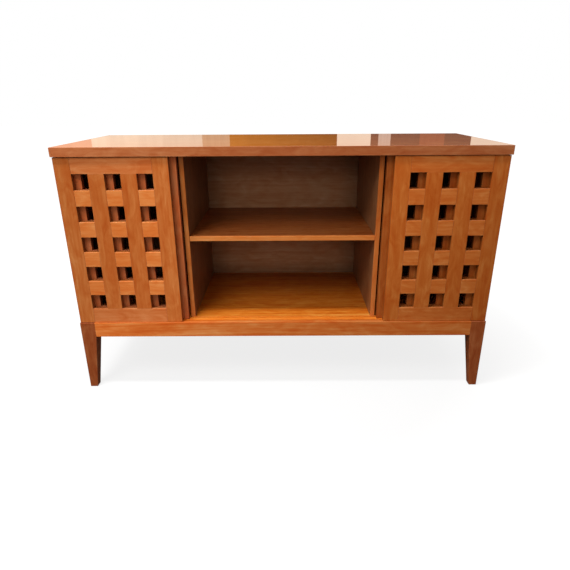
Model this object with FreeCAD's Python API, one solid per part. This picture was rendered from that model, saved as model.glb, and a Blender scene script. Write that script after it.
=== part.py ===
import FreeCAD
import Part
import os

# A sideboard on four tapered legs. Four lattice doors slide along the front in two tracks:
# two front doors over the side panels' edges, and two rear doors between the side panels.
# Millimetres, +Z up, the front faces -Y, the origin is on the floor under the top's centre.

# Lattice doors
BAR_WIDTH = 54.5
HOLE_SIZE = 54.5
HOLE_COLUMNS = 3
HOLE_ROWS = 5
DOOR_THICK = 20.0
DOOR_GAP = 5.0
DOOR_FOOT_GAP = 1.5
DOOR_HEAD_GAP = 2.0
DOOR_END_CLEAR = 2.0

# Tenons in the doors
DOOR_TENON_THICK = 7.0
DOOR_TENON_SHOULDER = 9.0
BAR_TENON_LENGTH = 10.0
RAIL_TENON_LENGTH = 30.0
MULLION_TENON_LENGTH = 14.0
TENON_CLEAR = 0.15

# Running strips on the doors and the grooves that they run in
STRIP_THICK = 5.4
STRIP_SEAT = 12.0
STRIP_END_INSET = 4.0
GUIDE_REACH = 7.0
TRACK_GROOVE_DEPTH = 8.0
TOP_GROOVE_DEPTH = 10.0
RUNNING_CLEAR = 0.3
GROOVE_END_CLEAR = 0.5
TRACK_END_WALL = 8.0
TRACK_REAR_WALL = 4.0

# Carcass
CARCASS_WIDTH = 1514.0
CASE_DEPTH = 553.0
SIDE_THICK = 19.0
SIDE_SETBACK = 2.5
DIVIDER_THICK = 16.0
DIVIDER_SETBACK = 2.0
DIVIDER_DOOR_GAP = 4.0
BOTTOM_THICK = 19.0
BACK_THICK = 8.0
BACK_INSET = 3.0
BACK_REBATE = 10.0
FIT_CLEAR = 0.2

# Shelves and the shouldered pins that carry them
SHELF_THICK = 17.0
SHELF_RISE = 299.5
SHELF_SETBACK = 3.0
SIDE_SHELF_SETBACK = 60.0
SHELF_SIDE_CLEAR = 0.5
SHELF_BACK_CLEAR = 1.0
PIN_DIAMETER = 5.0
PIN_SHOULDER_DIAMETER = 7.0
PIN_DEPTH = 8.0
PIN_REACH = 9.0
PIN_INSET = 60.0
PIN_STAGGER = 30.0
PIN_CLEAR = 0.1

# Top with its lippings
TOP_THICK = 30.5
TOP_SIDE_OVERHANG = 3.5
TOP_FRONT_OVERHANG = 6.0
TOP_BACK_OVERHANG = 20.0
LIPPING_WIDTH = 7.0

# Base frame
LEG_LENGTH = 218.5
LEG_TOP_WIDTH = 54.0
LEG_FOOT_WIDTH = 28.5
APRON_HEIGHT = 57.0
APRON_THICK = 19.0
APRON_TENON_LENGTH = 26.0
APRON_TENON_THICK = 8.0
APRON_TENON_SHOULDER = 8.0
BASE_FRONT_PROUD = 5.0
BASE_SIDE_PROUD = 2.0
BASE_BACK_PROUD = 2.0
LEDGER_HEIGHT = 20.0
LEDGER_WIDTH = 22.0
FRONT_LEDGER_WIDTH = 48.0
BEARER_WIDTH = 36.0
GLIDE_THICK = 2.0
GLIDE_DIAMETER = 20.0
GLIDE_STEM_DIAMETER = 3.0
GLIDE_STEM_LENGTH = 12.0

# Dowels and screws
DOWEL_DIAMETER = 8.0
DOWEL_FLAT_DEPTH = 12.0
DOWEL_EDGE_DEPTH = 20.0
DOWEL_CLEAR = 0.1
DOWEL_END_CLEAR = 1.0
DOWEL_DEPTH_SHARES = (0.2, 0.5, 0.8)
SCREW_DIAMETER = 3.5
SCREW_HEAD_DIAMETER = 7.0
SCREW_HEAD_THICK = 2.2
SCREW_GRIP = 14.0
SCREW_CLEAR = 0.15
BACK_SCREW_SHARES = (0.08, 0.36, 0.64, 0.92)
LONG_LEDGER_SCREW_SHARES = (0.1, 0.35, 0.65, 0.9)
SHORT_LEDGER_SCREW_SHARES = (0.15, 0.85)

# How far a cutter runs past the face that it opens
OVERRUN = 1.0

# Heights
APRON_LOW = GLIDE_THICK + LEG_LENGTH
BASE_TOP = APRON_LOW + APRON_HEIGHT
LATTICE_PITCH = BAR_WIDTH + HOLE_SIZE
DOOR_WIDTH = HOLE_COLUMNS * LATTICE_PITCH + BAR_WIDTH
DOOR_HEIGHT = HOLE_ROWS * LATTICE_PITCH + BAR_WIDTH
DOOR_LOW = BASE_TOP + DOOR_FOOT_GAP
DOOR_HIGH = DOOR_LOW + DOOR_HEIGHT
TOP_LOW = DOOR_HIGH + DOOR_HEAD_GAP
TOP_HIGH = TOP_LOW + TOP_THICK
BOTTOM_LOW = BASE_TOP - BOTTOM_THICK
LEDGER_LOW = BOTTOM_LOW - LEDGER_HEIGHT
SHELF_LOW = BASE_TOP + SHELF_RISE
SHELF_HIGH = SHELF_LOW + SHELF_THICK
PIN_AXIS_HEIGHT = SHELF_LOW - PIN_SHOULDER_DIAMETER / 2 - PIN_CLEAR

# Places from front to back
TOP_DEPTH = TOP_FRONT_OVERHANG + CASE_DEPTH + TOP_BACK_OVERHANG
TOP_FRONT = -TOP_DEPTH / 2
TOP_BACK = TOP_DEPTH / 2
FRONT_DOOR_FACE = TOP_FRONT + TOP_FRONT_OVERHANG
FRONT_DOOR_BACK = FRONT_DOOR_FACE + DOOR_THICK
REAR_DOOR_FACE = FRONT_DOOR_BACK + DOOR_GAP
REAR_DOOR_BACK = REAR_DOOR_FACE + DOOR_THICK
SIDE_FRONT = FRONT_DOOR_BACK + SIDE_SETBACK
DIVIDER_FRONT = REAR_DOOR_BACK + DIVIDER_SETBACK
CASE_BACK = FRONT_DOOR_FACE + CASE_DEPTH
BACK_PANEL_REAR = CASE_BACK - BACK_INSET
BACK_PANEL_FACE = BACK_PANEL_REAR - BACK_THICK
SHELF_FRONT = DIVIDER_FRONT + SHELF_SETBACK
SIDE_SHELF_FRONT = DIVIDER_FRONT + SIDE_SHELF_SETBACK
SHELF_BACK = BACK_PANEL_FACE - SHELF_BACK_CLEAR
BASE_FRONT = FRONT_DOOR_FACE - BASE_FRONT_PROUD
BASE_BACK = CASE_BACK + BASE_BACK_PROUD
FRONT_APRON_BACK = BASE_FRONT + APRON_THICK
REAR_APRON_FACE = BASE_BACK - APRON_THICK
FRONT_POST_BACK = BASE_FRONT + LEG_TOP_WIDTH
REAR_POST_FACE = BASE_BACK - LEG_TOP_WIDTH

# Half widths, measured from the middle
CARCASS_HALF = CARCASS_WIDTH / 2
SIDE_INNER = CARCASS_HALF - SIDE_THICK
TOP_HALF = CARCASS_HALF + TOP_SIDE_OVERHANG
BASE_HALF = CARCASS_HALF + BASE_SIDE_PROUD
POST_INNER = BASE_HALF - LEG_TOP_WIDTH
APRON_INNER = BASE_HALF - APRON_THICK
TRACK_HALF = POST_INNER - FIT_CLEAR
FRONT_DOOR_OUTER = CARCASS_HALF
REAR_DOOR_OUTER = SIDE_INNER - DOOR_END_CLEAR
DIVIDER_OUTER = REAR_DOOR_OUTER - DOOR_WIDTH - DIVIDER_DOOR_GAP
DIVIDER_INNER = DIVIDER_OUTER - DIVIDER_THICK
DIVIDER_MIDDLE = (DIVIDER_OUTER + DIVIDER_INNER) / 2
SIDE_MIDDLE = (CARCASS_HALF + SIDE_INNER) / 2

LEFT = -1
RIGHT = 1
SIDES = {"left": LEFT, "right": RIGHT}


def sided(side, near, far):
    """The low and high X of a span between two half widths on one side."""
    return tuple(sorted((side * near, side * far)))


def across(half):
    """The low and high X of a span that is centred on the middle."""
    return (-half, half)


def grown(span, amount):
    """A span that is longer by the same amount at both ends."""
    return (span[0] - amount, span[1] + amount)


def middle(span):
    """The middle of a span."""
    return (span[0] + span[1]) / 2


def along(span, share):
    """A place in a span, from 0 at its low end to 1 at its high end."""
    return span[0] + share * (span[1] - span[0])


def block(x, y, z):
    """A box between three spans."""
    corner = FreeCAD.Vector(x[0], y[0], z[0])
    return Part.makeBox(x[1] - x[0], y[1] - y[0], z[1] - z[0], corner)


def rod(diameter, start, direction, length):
    """A round bar from a point along a direction."""
    return Part.makeCylinder(diameter / 2, length, FreeCAD.Vector(*start), FreeCAD.Vector(*direction))


def less(shape, cutters):
    """The shape with all the cutters taken away."""
    return shape.cut(Part.makeCompound(cutters))


def joined(pieces):
    """One clean solid from pieces that touch."""
    return pieces[0].multiFuse(pieces[1:]).removeSplitter()


# Lattice doors

def tenon_depth(face):
    """The span of a door tenon, in the middle of the door's thickness."""
    centre = face + DOOR_THICK / 2
    return grown((centre, centre), DOOR_TENON_THICK / 2)


def bar_spans(low, count):
    """The spans of the lattice bars, from the first to the last."""
    starts = [low + index * LATTICE_PITCH for index in range(count + 1)]
    return [(start, start + BAR_WIDTH) for start in starts]


def end_tenons(piece_x, piece_z, face, length):
    """The two tenons on the ends of a horizontal door piece, as spans."""
    z = grown(piece_z, -DOOR_TENON_SHOULDER)
    y = tenon_depth(face)
    return [((piece_x[0] - length, piece_x[0]), y, z), ((piece_x[1], piece_x[1] + length), y, z)]


def upright_tenons(piece_x, piece_z, face, length):
    """The two tenons on the ends of a mullion, as spans."""
    x = grown(piece_x, -DOOR_TENON_SHOULDER)
    y = tenon_depth(face)
    return [(x, y, (piece_z[0] - length, piece_z[0])), (x, y, (piece_z[1], piece_z[1] + length))]


def mortises(tenons):
    """The pockets that take the tenons, with room all round."""
    return [block(*[grown(span, TENON_CLEAR) for span in tenon]) for tenon in tenons]


def strip_span(side, outer):
    """The X span of a door's running strips, kept within the rail and the track's end walls."""
    rail_outer = outer - BAR_WIDTH
    rail_inner = outer - DOOR_WIDTH + BAR_WIDTH
    far = min(rail_outer - STRIP_END_INSET, TRACK_HALF - TRACK_END_WALL - GROOVE_END_CLEAR)
    return sided(side, rail_inner + STRIP_END_INSET, far)


def strip_depth(face):
    """The span of the running strips through the depth: flush with the door's back."""
    back = face + DOOR_THICK
    return (back - STRIP_THICK, back)


def lattice_door(side, outer, face):
    """The pieces of one door: frame, lattice and running strips."""
    x = sided(side, outer - DOOR_WIDTH, outer)
    y = (face, face + DOOR_THICK)
    z = (DOOR_LOW, DOOR_HIGH)
    uprights = bar_spans(x[0], HOLE_COLUMNS)
    levels = bar_spans(z[0], HOLE_ROWS)
    rail_x = (uprights[0][1], uprights[-1][0])
    mullion_z = (levels[0][1], levels[-1][0])
    gaps_x = [(left[1], right[0]) for left, right in zip(uprights, uprights[1:])]
    strip_y = strip_depth(face)

    bars = [(gap, level) for level in levels[1:-1] for gap in gaps_x]
    rail_levels = (levels[0], levels[-1])
    mullion_xs = uprights[1:-1]
    bar_tenons = [end_tenons(gap, level, face, BAR_TENON_LENGTH) for gap, level in bars]
    rail_tenons = [end_tenons(rail_x, level, face, RAIL_TENON_LENGTH) for level in rail_levels]
    mullion_tenons = [upright_tenons(span, mullion_z, face, MULLION_TENON_LENGTH) for span in mullion_xs]
    side_pockets = [pocket for tenons in bar_tenons + rail_tenons for pocket in mortises(tenons)]
    end_pockets = [pocket for tenons in mullion_tenons for pocket in mortises(tenons)]

    stiles = [less(block(span, y, z), side_pockets) for span in (uprights[0], uprights[-1])]
    mullions = []
    for span, tenons in zip(mullion_xs, mullion_tenons):
        core = joined([block(span, y, mullion_z)] + [block(*tenon) for tenon in tenons])
        mullions.append(less(core, side_pockets))

    cut_y = (strip_y[0], strip_y[1] + OVERRUN)
    foot_rebate = block(rail_x, cut_y, (z[0] - OVERRUN, z[0] + STRIP_SEAT))
    head_rebate = block(rail_x, cut_y, (z[1] - STRIP_SEAT, z[1] + OVERRUN))
    rails = []
    for level, tenons, rebate in zip(rail_levels, rail_tenons, (foot_rebate, head_rebate)):
        core = joined([block(rail_x, y, level)] + [block(*tenon) for tenon in tenons])
        rails.append(less(core, end_pockets + [rebate]))

    crossbars = []
    for (gap, level), tenons in zip(bars, bar_tenons):
        crossbars.append(joined([block(gap, y, level)] + [block(*tenon) for tenon in tenons]))

    strip_x = strip_span(side, outer)
    runner_z = (BASE_TOP - TRACK_GROOVE_DEPTH + RUNNING_CLEAR, z[0] + STRIP_SEAT)
    guide_z = (z[1] - STRIP_SEAT, TOP_LOW + GUIDE_REACH)
    return {
        "stiles": Part.makeCompound(stiles),
        "rails": Part.makeCompound(rails),
        "mullions": Part.makeCompound(mullions),
        "crossbars": Part.makeCompound(crossbars),
        "runner": block(strip_x, strip_y, runner_z),
        "guide": block(strip_x, strip_y, guide_z),
    }


def grooves(z):
    """The two track grooves between two heights."""
    cutters = []
    for outer, face in ((FRONT_DOOR_OUTER, FRONT_DOOR_FACE), (REAR_DOOR_OUTER, REAR_DOOR_FACE)):
        end = max(abs(place) for place in strip_span(RIGHT, outer))
        x = across(end + GROOVE_END_CLEAR)
        cutters.append(block(x, grown(strip_depth(face), RUNNING_CLEAR), z))
    return cutters


# Dowels, screws and shelf pins

PANEL_DEPTH = (SIDE_FRONT, BACK_PANEL_FACE)
UPRIGHT_PLACES = [side * x for side in SIDES.values() for x in (SIDE_MIDDLE, DIVIDER_MIDDLE)]
DOWEL_PLACES = [(x, along(PANEL_DEPTH, share)) for x in UPRIGHT_PLACES for share in DOWEL_DEPTH_SHARES]
LOWER_DOWEL_SPAN = (BASE_TOP - DOWEL_FLAT_DEPTH, BASE_TOP + DOWEL_EDGE_DEPTH)
UPPER_DOWEL_SPAN = (TOP_LOW - DOWEL_EDGE_DEPTH, TOP_LOW + DOWEL_FLAT_DEPTH)
UP = (0, 0, 1)
FORWARD = (0, -1, 0)


def dowels(span):
    """The dowels of one level, short of their holes at both ends."""
    low, high = grown(span, -DOWEL_END_CLEAR)
    return [rod(DOWEL_DIAMETER, (x, y, low), UP, high - low) for x, y in DOWEL_PLACES]


def dowel_holes(span):
    """The holes for the dowels of one level."""
    diameter = DOWEL_DIAMETER + 2 * DOWEL_CLEAR
    return [rod(diameter, (x, y, span[0]), UP, span[1] - span[0]) for x, y in DOWEL_PLACES]


def screw(seat, direction, clamped):
    """A screw whose head lies on its seat and whose shank runs through the clamped piece."""
    back = [-step for step in direction]
    head = rod(SCREW_HEAD_DIAMETER, seat, back, SCREW_HEAD_THICK)
    shank = rod(SCREW_DIAMETER, seat, direction, clamped + SCREW_GRIP)
    return joined([head, shank])


def screw_hole(seat, direction, clamped):
    """The hole for one screw, a little deeper than the screw."""
    start = [place - OVERRUN * step for place, step in zip(seat, direction)]
    depth = OVERRUN + clamped + SCREW_GRIP + OVERRUN
    return rod(SCREW_DIAMETER + 2 * SCREW_CLEAR, start, direction, depth)


REBATE_LIP = (SIDE_INNER, SIDE_INNER + BACK_REBATE)
BACK_SCREW_COLUMNS = [side * x for side in SIDES.values() for x in (middle(REBATE_LIP), DIVIDER_MIDDLE)]
BACK_SCREW_SEATS = [(x, BACK_PANEL_REAR, along((BASE_TOP, TOP_LOW), share))
                    for x in BACK_SCREW_COLUMNS for share in BACK_SCREW_SHARES]


def track_screw_line():
    """The Y of the front ledger's screws, between the two grooves."""
    return (strip_depth(FRONT_DOOR_FACE)[1] + strip_depth(REAR_DOOR_FACE)[0]) / 2


def ledger_screw_seats():
    """The places of the ledger screws' heads."""
    long_x = across(POST_INNER)
    short_y = (FRONT_POST_BACK, REAR_POST_FACE)
    rear_y = REAR_APRON_FACE - LEDGER_WIDTH / 2
    seats = [(along(long_x, share), y, LEDGER_LOW)
             for y in (track_screw_line(), rear_y) for share in LONG_LEDGER_SCREW_SHARES]
    for side in SIDES.values():
        x = side * (APRON_INNER - LEDGER_WIDTH / 2)
        seats += [(x, along(short_y, share), LEDGER_LOW) for share in SHORT_LEDGER_SCREW_SHARES]
    return seats


def pin_seats():
    """Each shelf pin as the X of the panel's face, the way that it points, and its Y."""
    seats = []
    for side in SIDES.values():
        faces = [(DIVIDER_INNER, -side, SHELF_FRONT, 0)]
        faces.append((DIVIDER_OUTER, side, SIDE_SHELF_FRONT, PIN_STAGGER))
        faces.append((SIDE_INNER, -side, SIDE_SHELF_FRONT, PIN_STAGGER))
        for half, way, front, extra in faces:
            ends = grown((front, SHELF_BACK), -PIN_INSET - extra)
            seats += [(side * half, way, y) for y in ends]
    return seats


def shelf_pin(face, way, y):
    """A pin with a thin shank in the panel and a thicker end that carries the shelf."""
    start = (face, y, PIN_AXIS_HEIGHT)
    outer = rod(PIN_SHOULDER_DIAMETER, start, (way, 0, 0), PIN_REACH)
    shank = rod(PIN_DIAMETER, start, (-way, 0, 0), PIN_DEPTH)
    return joined([outer, shank])


def pin_hole(face, way, y):
    """The hole for a shelf pin's shank."""
    start = (face + way * OVERRUN, y, PIN_AXIS_HEIGHT)
    return rod(PIN_DIAMETER + 2 * PIN_CLEAR, start, (-way, 0, 0), OVERRUN + PIN_DEPTH + PIN_CLEAR)


# Base frame

def square_wire(x, y, z):
    """A rectangle at one height."""
    corners = [(x[0], y[0], z), (x[1], y[0], z), (x[1], y[1], z), (x[0], y[1], z), (x[0], y[0], z)]
    return Part.makePolygon([FreeCAD.Vector(*corner) for corner in corners])


APRON_TENON_Z = grown((APRON_LOW, BASE_TOP), -APRON_TENON_SHOULDER)


def apron_tenon_across(outer_face, inner_face):
    """The span of an apron's tenon through the apron's thickness."""
    return grown((middle((outer_face, inner_face)),) * 2, APRON_TENON_THICK / 2)


def long_apron_tenons(outer_face, inner_face):
    """The tenons on the ends of the front or rear apron."""
    y = apron_tenon_across(outer_face, inner_face)
    ends = [sided(side, POST_INNER, POST_INNER + APRON_TENON_LENGTH) for side in SIDES.values()]
    return [(x, y, APRON_TENON_Z) for x in ends]


def side_apron_tenons(side):
    """The tenons on the ends of a side apron."""
    x = sided(side, *apron_tenon_across(APRON_INNER, BASE_HALF))
    ends = [(FRONT_POST_BACK - APRON_TENON_LENGTH, FRONT_POST_BACK)]
    ends.append((REAR_POST_FACE, REAR_POST_FACE + APRON_TENON_LENGTH))
    return [(x, y, APRON_TENON_Z) for y in ends]


def apron_pockets():
    """The mortises of all the aprons."""
    tenons = long_apron_tenons(BASE_FRONT, FRONT_APRON_BACK)
    tenons += long_apron_tenons(BASE_BACK, REAR_APRON_FACE)
    for side in SIDES.values():
        tenons += side_apron_tenons(side)
    return mortises(tenons)


def glide_centres():
    """The middle of each foot."""
    x = BASE_HALF - LEG_FOOT_WIDTH / 2
    inset = LEG_FOOT_WIDTH / 2
    return [(side * x, y) for side in SIDES.values() for y in (BASE_FRONT + inset, BASE_BACK - inset)]


def foot_glide(x, y):
    """A round pad with a stem that is driven into the foot."""
    pad = rod(GLIDE_DIAMETER, (x, y, 0), UP, GLIDE_THICK)
    stem = rod(GLIDE_STEM_DIAMETER, (x, y, GLIDE_THICK), UP, GLIDE_STEM_LENGTH)
    return joined([pad, stem])


def glide_hole(x, y):
    """The hole for a glide's stem."""
    diameter = GLIDE_STEM_DIAMETER + 2 * PIN_CLEAR
    return rod(diameter, (x, y, GLIDE_THICK - OVERRUN), UP, OVERRUN + GLIDE_STEM_LENGTH + PIN_CLEAR)


def leg(side, front):
    """A post whose outer faces are plumb and whose inner faces taper to the foot."""
    def y_span(width):
        return (BASE_FRONT, BASE_FRONT + width) if front else (BASE_BACK - width, BASE_BACK)

    post = block(sided(side, POST_INNER, BASE_HALF), y_span(LEG_TOP_WIDTH), (APRON_LOW, BASE_TOP))
    upper = square_wire(sided(side, POST_INNER, BASE_HALF), y_span(LEG_TOP_WIDTH), APRON_LOW)
    foot_x = sided(side, BASE_HALF - LEG_FOOT_WIDTH, BASE_HALF)
    lower = square_wire(foot_x, y_span(LEG_FOOT_WIDTH), GLIDE_THICK)
    taper = Part.makeLoft([lower, upper], True, True)
    holes = [glide_hole(x, y) for x, y in glide_centres()]
    return less(joined([post, taper]), apron_pockets() + holes)


def long_apron(outer_face, inner_face):
    """The front or rear apron between the posts."""
    y = tuple(sorted((outer_face, inner_face)))
    core = block(across(POST_INNER), y, (APRON_LOW, BASE_TOP))
    tenons = [block(*tenon) for tenon in long_apron_tenons(outer_face, inner_face)]
    return joined([core] + tenons)


def side_apron(side):
    """A side apron between the posts, with holes for the side panel's dowels."""
    x = sided(side, APRON_INNER, BASE_HALF)
    core = block(x, (FRONT_POST_BACK, REAR_POST_FACE), (APRON_LOW, BASE_TOP))
    tenons = [block(*tenon) for tenon in side_apron_tenons(side)]
    return less(joined([core] + tenons), dowel_holes(LOWER_DOWEL_SPAN))


def ledgers():
    """The strips inside the aprons that carry the bottom."""
    z = (LEDGER_LOW, BOTTOM_LOW)
    holes = [screw_hole(seat, UP, LEDGER_HEIGHT) for seat in ledger_screw_seats()]
    front_y = (FRONT_APRON_BACK, FRONT_APRON_BACK + FRONT_LEDGER_WIDTH)
    rear_y = (REAR_APRON_FACE - LEDGER_WIDTH, REAR_APRON_FACE)
    x = across(TRACK_HALF)
    pieces = {"front": block(x, front_y, z), "rear": block(x, rear_y, z)}
    side_y = grown((FRONT_POST_BACK, REAR_POST_FACE), -FIT_CLEAR)
    for name, side in SIDES.items():
        pieces[name] = block(sided(side, APRON_INNER - LEDGER_WIDTH, APRON_INNER), side_y, z)
    return {name: less(piece, holes) for name, piece in pieces.items()}


def bearer(side):
    """A cross piece under a divider, between the front and rear ledgers."""
    x = grown((side * DIVIDER_MIDDLE,) * 2, BEARER_WIDTH / 2)
    y = (FRONT_APRON_BACK + FRONT_LEDGER_WIDTH, REAR_APRON_FACE - LEDGER_WIDTH)
    return block(x, y, (LEDGER_LOW, BOTTOM_LOW))


# Carcass

TRACK_BACK = strip_depth(REAR_DOOR_FACE)[1] + RUNNING_CLEAR + TRACK_REAR_WALL


def bottom_track():
    """The strip behind the front apron, with the two lower grooves."""
    core = block(across(TRACK_HALF), (FRONT_APRON_BACK, TRACK_BACK), (BOTTOM_LOW, BASE_TOP))
    cutters = grooves((BASE_TOP - TRACK_GROOVE_DEPTH, BASE_TOP + OVERRUN))
    holes = [screw_hole(seat, UP, LEDGER_HEIGHT) for seat in ledger_screw_seats()]
    return less(core, cutters + holes)


def bottom_panel():
    """The carcass bottom, let in between the aprons and cut round the posts and the track."""
    z = (BOTTOM_LOW, BASE_TOP)
    cut_z = grown(z, OVERRUN)
    y = grown((FRONT_POST_BACK, REAR_APRON_FACE), -FIT_CLEAR)
    core = block(across(APRON_INNER - FIT_CLEAR), y, z)
    cutters = [block(across(POST_INNER), (y[0] - OVERRUN, TRACK_BACK), cut_z)]
    for side in SIDES.values():
        post_x = sided(side, POST_INNER - FIT_CLEAR, BASE_HALF)
        cutters.append(block(post_x, (REAR_POST_FACE - FIT_CLEAR, BASE_BACK), cut_z))
    cutters += dowel_holes(LOWER_DOWEL_SPAN)
    cutters += [screw_hole(seat, UP, LEDGER_HEIGHT) for seat in ledger_screw_seats()]
    return less(core, cutters)


def upright_holes():
    """All the holes in the side panels and dividers."""
    holes = dowel_holes(LOWER_DOWEL_SPAN) + dowel_holes(UPPER_DOWEL_SPAN)
    holes += [pin_hole(*seat) for seat in pin_seats()]
    holes += [screw_hole(seat, FORWARD, BACK_THICK) for seat in BACK_SCREW_SEATS]
    return holes


def side_panel(side):
    """A carcass side, rebated at the rear for the back panel."""
    z = (BASE_TOP, TOP_LOW)
    core = block(sided(side, SIDE_INNER, CARCASS_HALF), (SIDE_FRONT, CASE_BACK), z)
    rebate_x = sided(side, SIDE_INNER - OVERRUN, SIDE_INNER + BACK_REBATE)
    rebate = block(rebate_x, (BACK_PANEL_FACE, CASE_BACK + OVERRUN), grown(z, OVERRUN))
    return less(core, [rebate] + upright_holes())


def divider(side):
    """An upright between the middle bay and a side bay."""
    x = sided(side, DIVIDER_INNER, DIVIDER_OUTER)
    core = block(x, (DIVIDER_FRONT, BACK_PANEL_FACE), (BASE_TOP, TOP_LOW))
    return less(core, upright_holes())


def back_panel():
    """The back, let into the side panels' rebates."""
    half = SIDE_INNER + BACK_REBATE - FIT_CLEAR
    core = block(across(half), (BACK_PANEL_FACE, BACK_PANEL_REAR), (BASE_TOP, TOP_LOW))
    return less(core, [screw_hole(seat, FORWARD, BACK_THICK) for seat in BACK_SCREW_SEATS])


def shelf(x, front):
    """A shelf between two uprights, from its front edge to the back."""
    return block(grown(x, -SHELF_SIDE_CLEAR), (front, SHELF_BACK), (SHELF_LOW, SHELF_HIGH))


def top_pieces():
    """The top's panel, with the two upper grooves, and the lippings round it."""
    z = (TOP_LOW, TOP_HIGH)
    core_x = across(TOP_HALF - LIPPING_WIDTH)
    core_y = (TOP_FRONT + LIPPING_WIDTH, TOP_BACK - LIPPING_WIDTH)
    cutters = grooves((TOP_LOW - OVERRUN, TOP_LOW + TOP_GROOVE_DEPTH)) + dowel_holes(UPPER_DOWEL_SPAN)
    pieces = {
        "top_panel": less(block(core_x, core_y, z), cutters),
        "top_lipping_front": block(core_x, (TOP_FRONT, core_y[0]), z),
        "top_lipping_rear": block(core_x, (core_y[1], TOP_BACK), z),
    }
    for name, side in SIDES.items():
        x = sided(side, TOP_HALF - LIPPING_WIDTH, TOP_HALF)
        pieces["top_lipping_" + name] = block(x, (TOP_FRONT, TOP_BACK), z)
    return pieces


def cabinet_nodes():
    """Every fixed piece, by the name of its node."""
    back_screws = [screw(seat, FORWARD, BACK_THICK) for seat in BACK_SCREW_SEATS]
    ledger_screws = [screw(seat, UP, LEDGER_HEIGHT) for seat in ledger_screw_seats()]
    nodes = {
        "apron_front": long_apron(BASE_FRONT, FRONT_APRON_BACK),
        "apron_rear": long_apron(BASE_BACK, REAR_APRON_FACE),
        "bottom_panel": bottom_panel(),
        "bottom_track": bottom_track(),
        "back_panel": back_panel(),
        "shelf_middle": shelf(across(DIVIDER_INNER), SHELF_FRONT),
        "shelf_pins": Part.makeCompound([shelf_pin(*seat) for seat in pin_seats()]),
        "lower_dowels": Part.makeCompound(dowels(LOWER_DOWEL_SPAN)),
        "upper_dowels": Part.makeCompound(dowels(UPPER_DOWEL_SPAN)),
        "back_screws": Part.makeCompound(back_screws),
        "ledger_screws": Part.makeCompound(ledger_screws),
        "foot_glides": Part.makeCompound([foot_glide(x, y) for x, y in glide_centres()]),
    }
    nodes.update(top_pieces())
    for name, piece in ledgers().items():
        nodes["ledger_" + name] = piece
    for name, side in SIDES.items():
        nodes["leg_front_" + name] = leg(side, True)
        nodes["leg_rear_" + name] = leg(side, False)
        nodes["apron_" + name] = side_apron(side)
        nodes["bearer_" + name] = bearer(side)
        nodes["side_panel_" + name] = side_panel(side)
        nodes["divider_" + name] = divider(side)
        nodes["shelf_" + name] = shelf(sided(side, DIVIDER_OUTER, SIDE_INNER), SIDE_SHELF_FRONT)
    return nodes


def door_nodes():
    """Every piece of the four doors, by the name of its node."""
    nodes = {}
    rows = {"front": (FRONT_DOOR_OUTER, FRONT_DOOR_FACE), "rear": (REAR_DOOR_OUTER, REAR_DOOR_FACE)}
    for row, (outer, face) in rows.items():
        for name, side in SIDES.items():
            for piece, shape in lattice_door(side, outer, face).items():
                nodes["_".join((row, name, "door", piece))] = shape
    return nodes


def main():
    """Build every node and write one STEP file for each."""
    os.makedirs("parts", exist_ok=True)
    nodes = cabinet_nodes()
    nodes.update(door_nodes())
    for name, shape in nodes.items():
        shape.exportStep("parts/" + name + ".step")
        print(name, len(shape.Solids), round(shape.Volume), shape.isValid())


main()
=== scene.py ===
import math
import bpy
from mathutils import Color, Matrix, Vector


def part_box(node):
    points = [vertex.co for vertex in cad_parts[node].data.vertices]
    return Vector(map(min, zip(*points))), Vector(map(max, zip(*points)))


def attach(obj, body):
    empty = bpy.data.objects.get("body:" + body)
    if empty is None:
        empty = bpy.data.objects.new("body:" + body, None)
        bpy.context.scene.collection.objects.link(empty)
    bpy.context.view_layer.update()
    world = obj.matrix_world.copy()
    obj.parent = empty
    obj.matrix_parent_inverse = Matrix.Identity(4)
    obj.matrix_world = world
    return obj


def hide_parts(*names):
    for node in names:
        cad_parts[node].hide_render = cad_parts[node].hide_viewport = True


bl_info = {
    "name": "Lattice Door Sideboard",
    "version": (1, 0, 0),
    "blender": (4, 5, 0),
    "location": "View3D > Sidebar > Sideboard",
    "description": "Dresses a cherry sideboard with four sliding lattice doors and lights it",
    "category": "Object",
}

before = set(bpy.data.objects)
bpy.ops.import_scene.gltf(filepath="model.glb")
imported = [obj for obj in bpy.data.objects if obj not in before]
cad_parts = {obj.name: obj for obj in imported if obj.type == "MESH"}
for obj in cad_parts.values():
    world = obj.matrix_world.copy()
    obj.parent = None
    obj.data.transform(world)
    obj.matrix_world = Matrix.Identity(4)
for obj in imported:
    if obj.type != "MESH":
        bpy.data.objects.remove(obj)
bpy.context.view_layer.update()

MM = 0.001
X, Y, Z = range(3)
UP = 1.0
DOWN = -1.0
QUARTER = math.pi / 2
GOLDEN = (math.sqrt(5) - 1) / 2
SIDES = ("left", "right")
ENDS = ("front", "rear")
EDGES = ENDS + SIDES
UPRIGHT_PANELS = ("side_panel_left", "side_panel_right", "divider_left", "divider_right")

# How far cuts run past the wood, how close is the same place, and which angles and faces count
OVERRUN = MM
NEAR = MM
MERGE_GAP = 0.01 * MM
SHARP_EDGE = math.radians(30)
SMOOTH_ANGLE = math.radians(40)
LEVEL_SHARE = 0.9

# Eased edges: steps in the rounding, and shares of the board's or the top's ease on boards set in others
EASE_STEPS = 3
BAR_STEPS = 2
BOTTOM_EASE_SHARE = 0.5
TOP_EASE_SHARE = 0.25

# Wood and slot of each kind of door bar
BAR_LOOKS = {"stile": ("upright", "door_upright_wood"), "mullion": ("upright", "door_upright_wood"),
             "crossbar": ("cross", "door_cross_wood")}

# Screws, with shares of the head's width, and of its depth for the cross's depth
ROUND_SIDES = 24
HEAD_DEPTH_SHARE = 0.31
SHANK_INSET_SHARE = 1 / 4
POINT_SHARE = 1 / 2
POINT_WIDTH_SHARE = 0.15
HEAD_RIM_SHARE = 1 / 16
CROSS_REACH_SHARE = 0.29
CROSS_DEPTH_SHARE = 0.55

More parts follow.
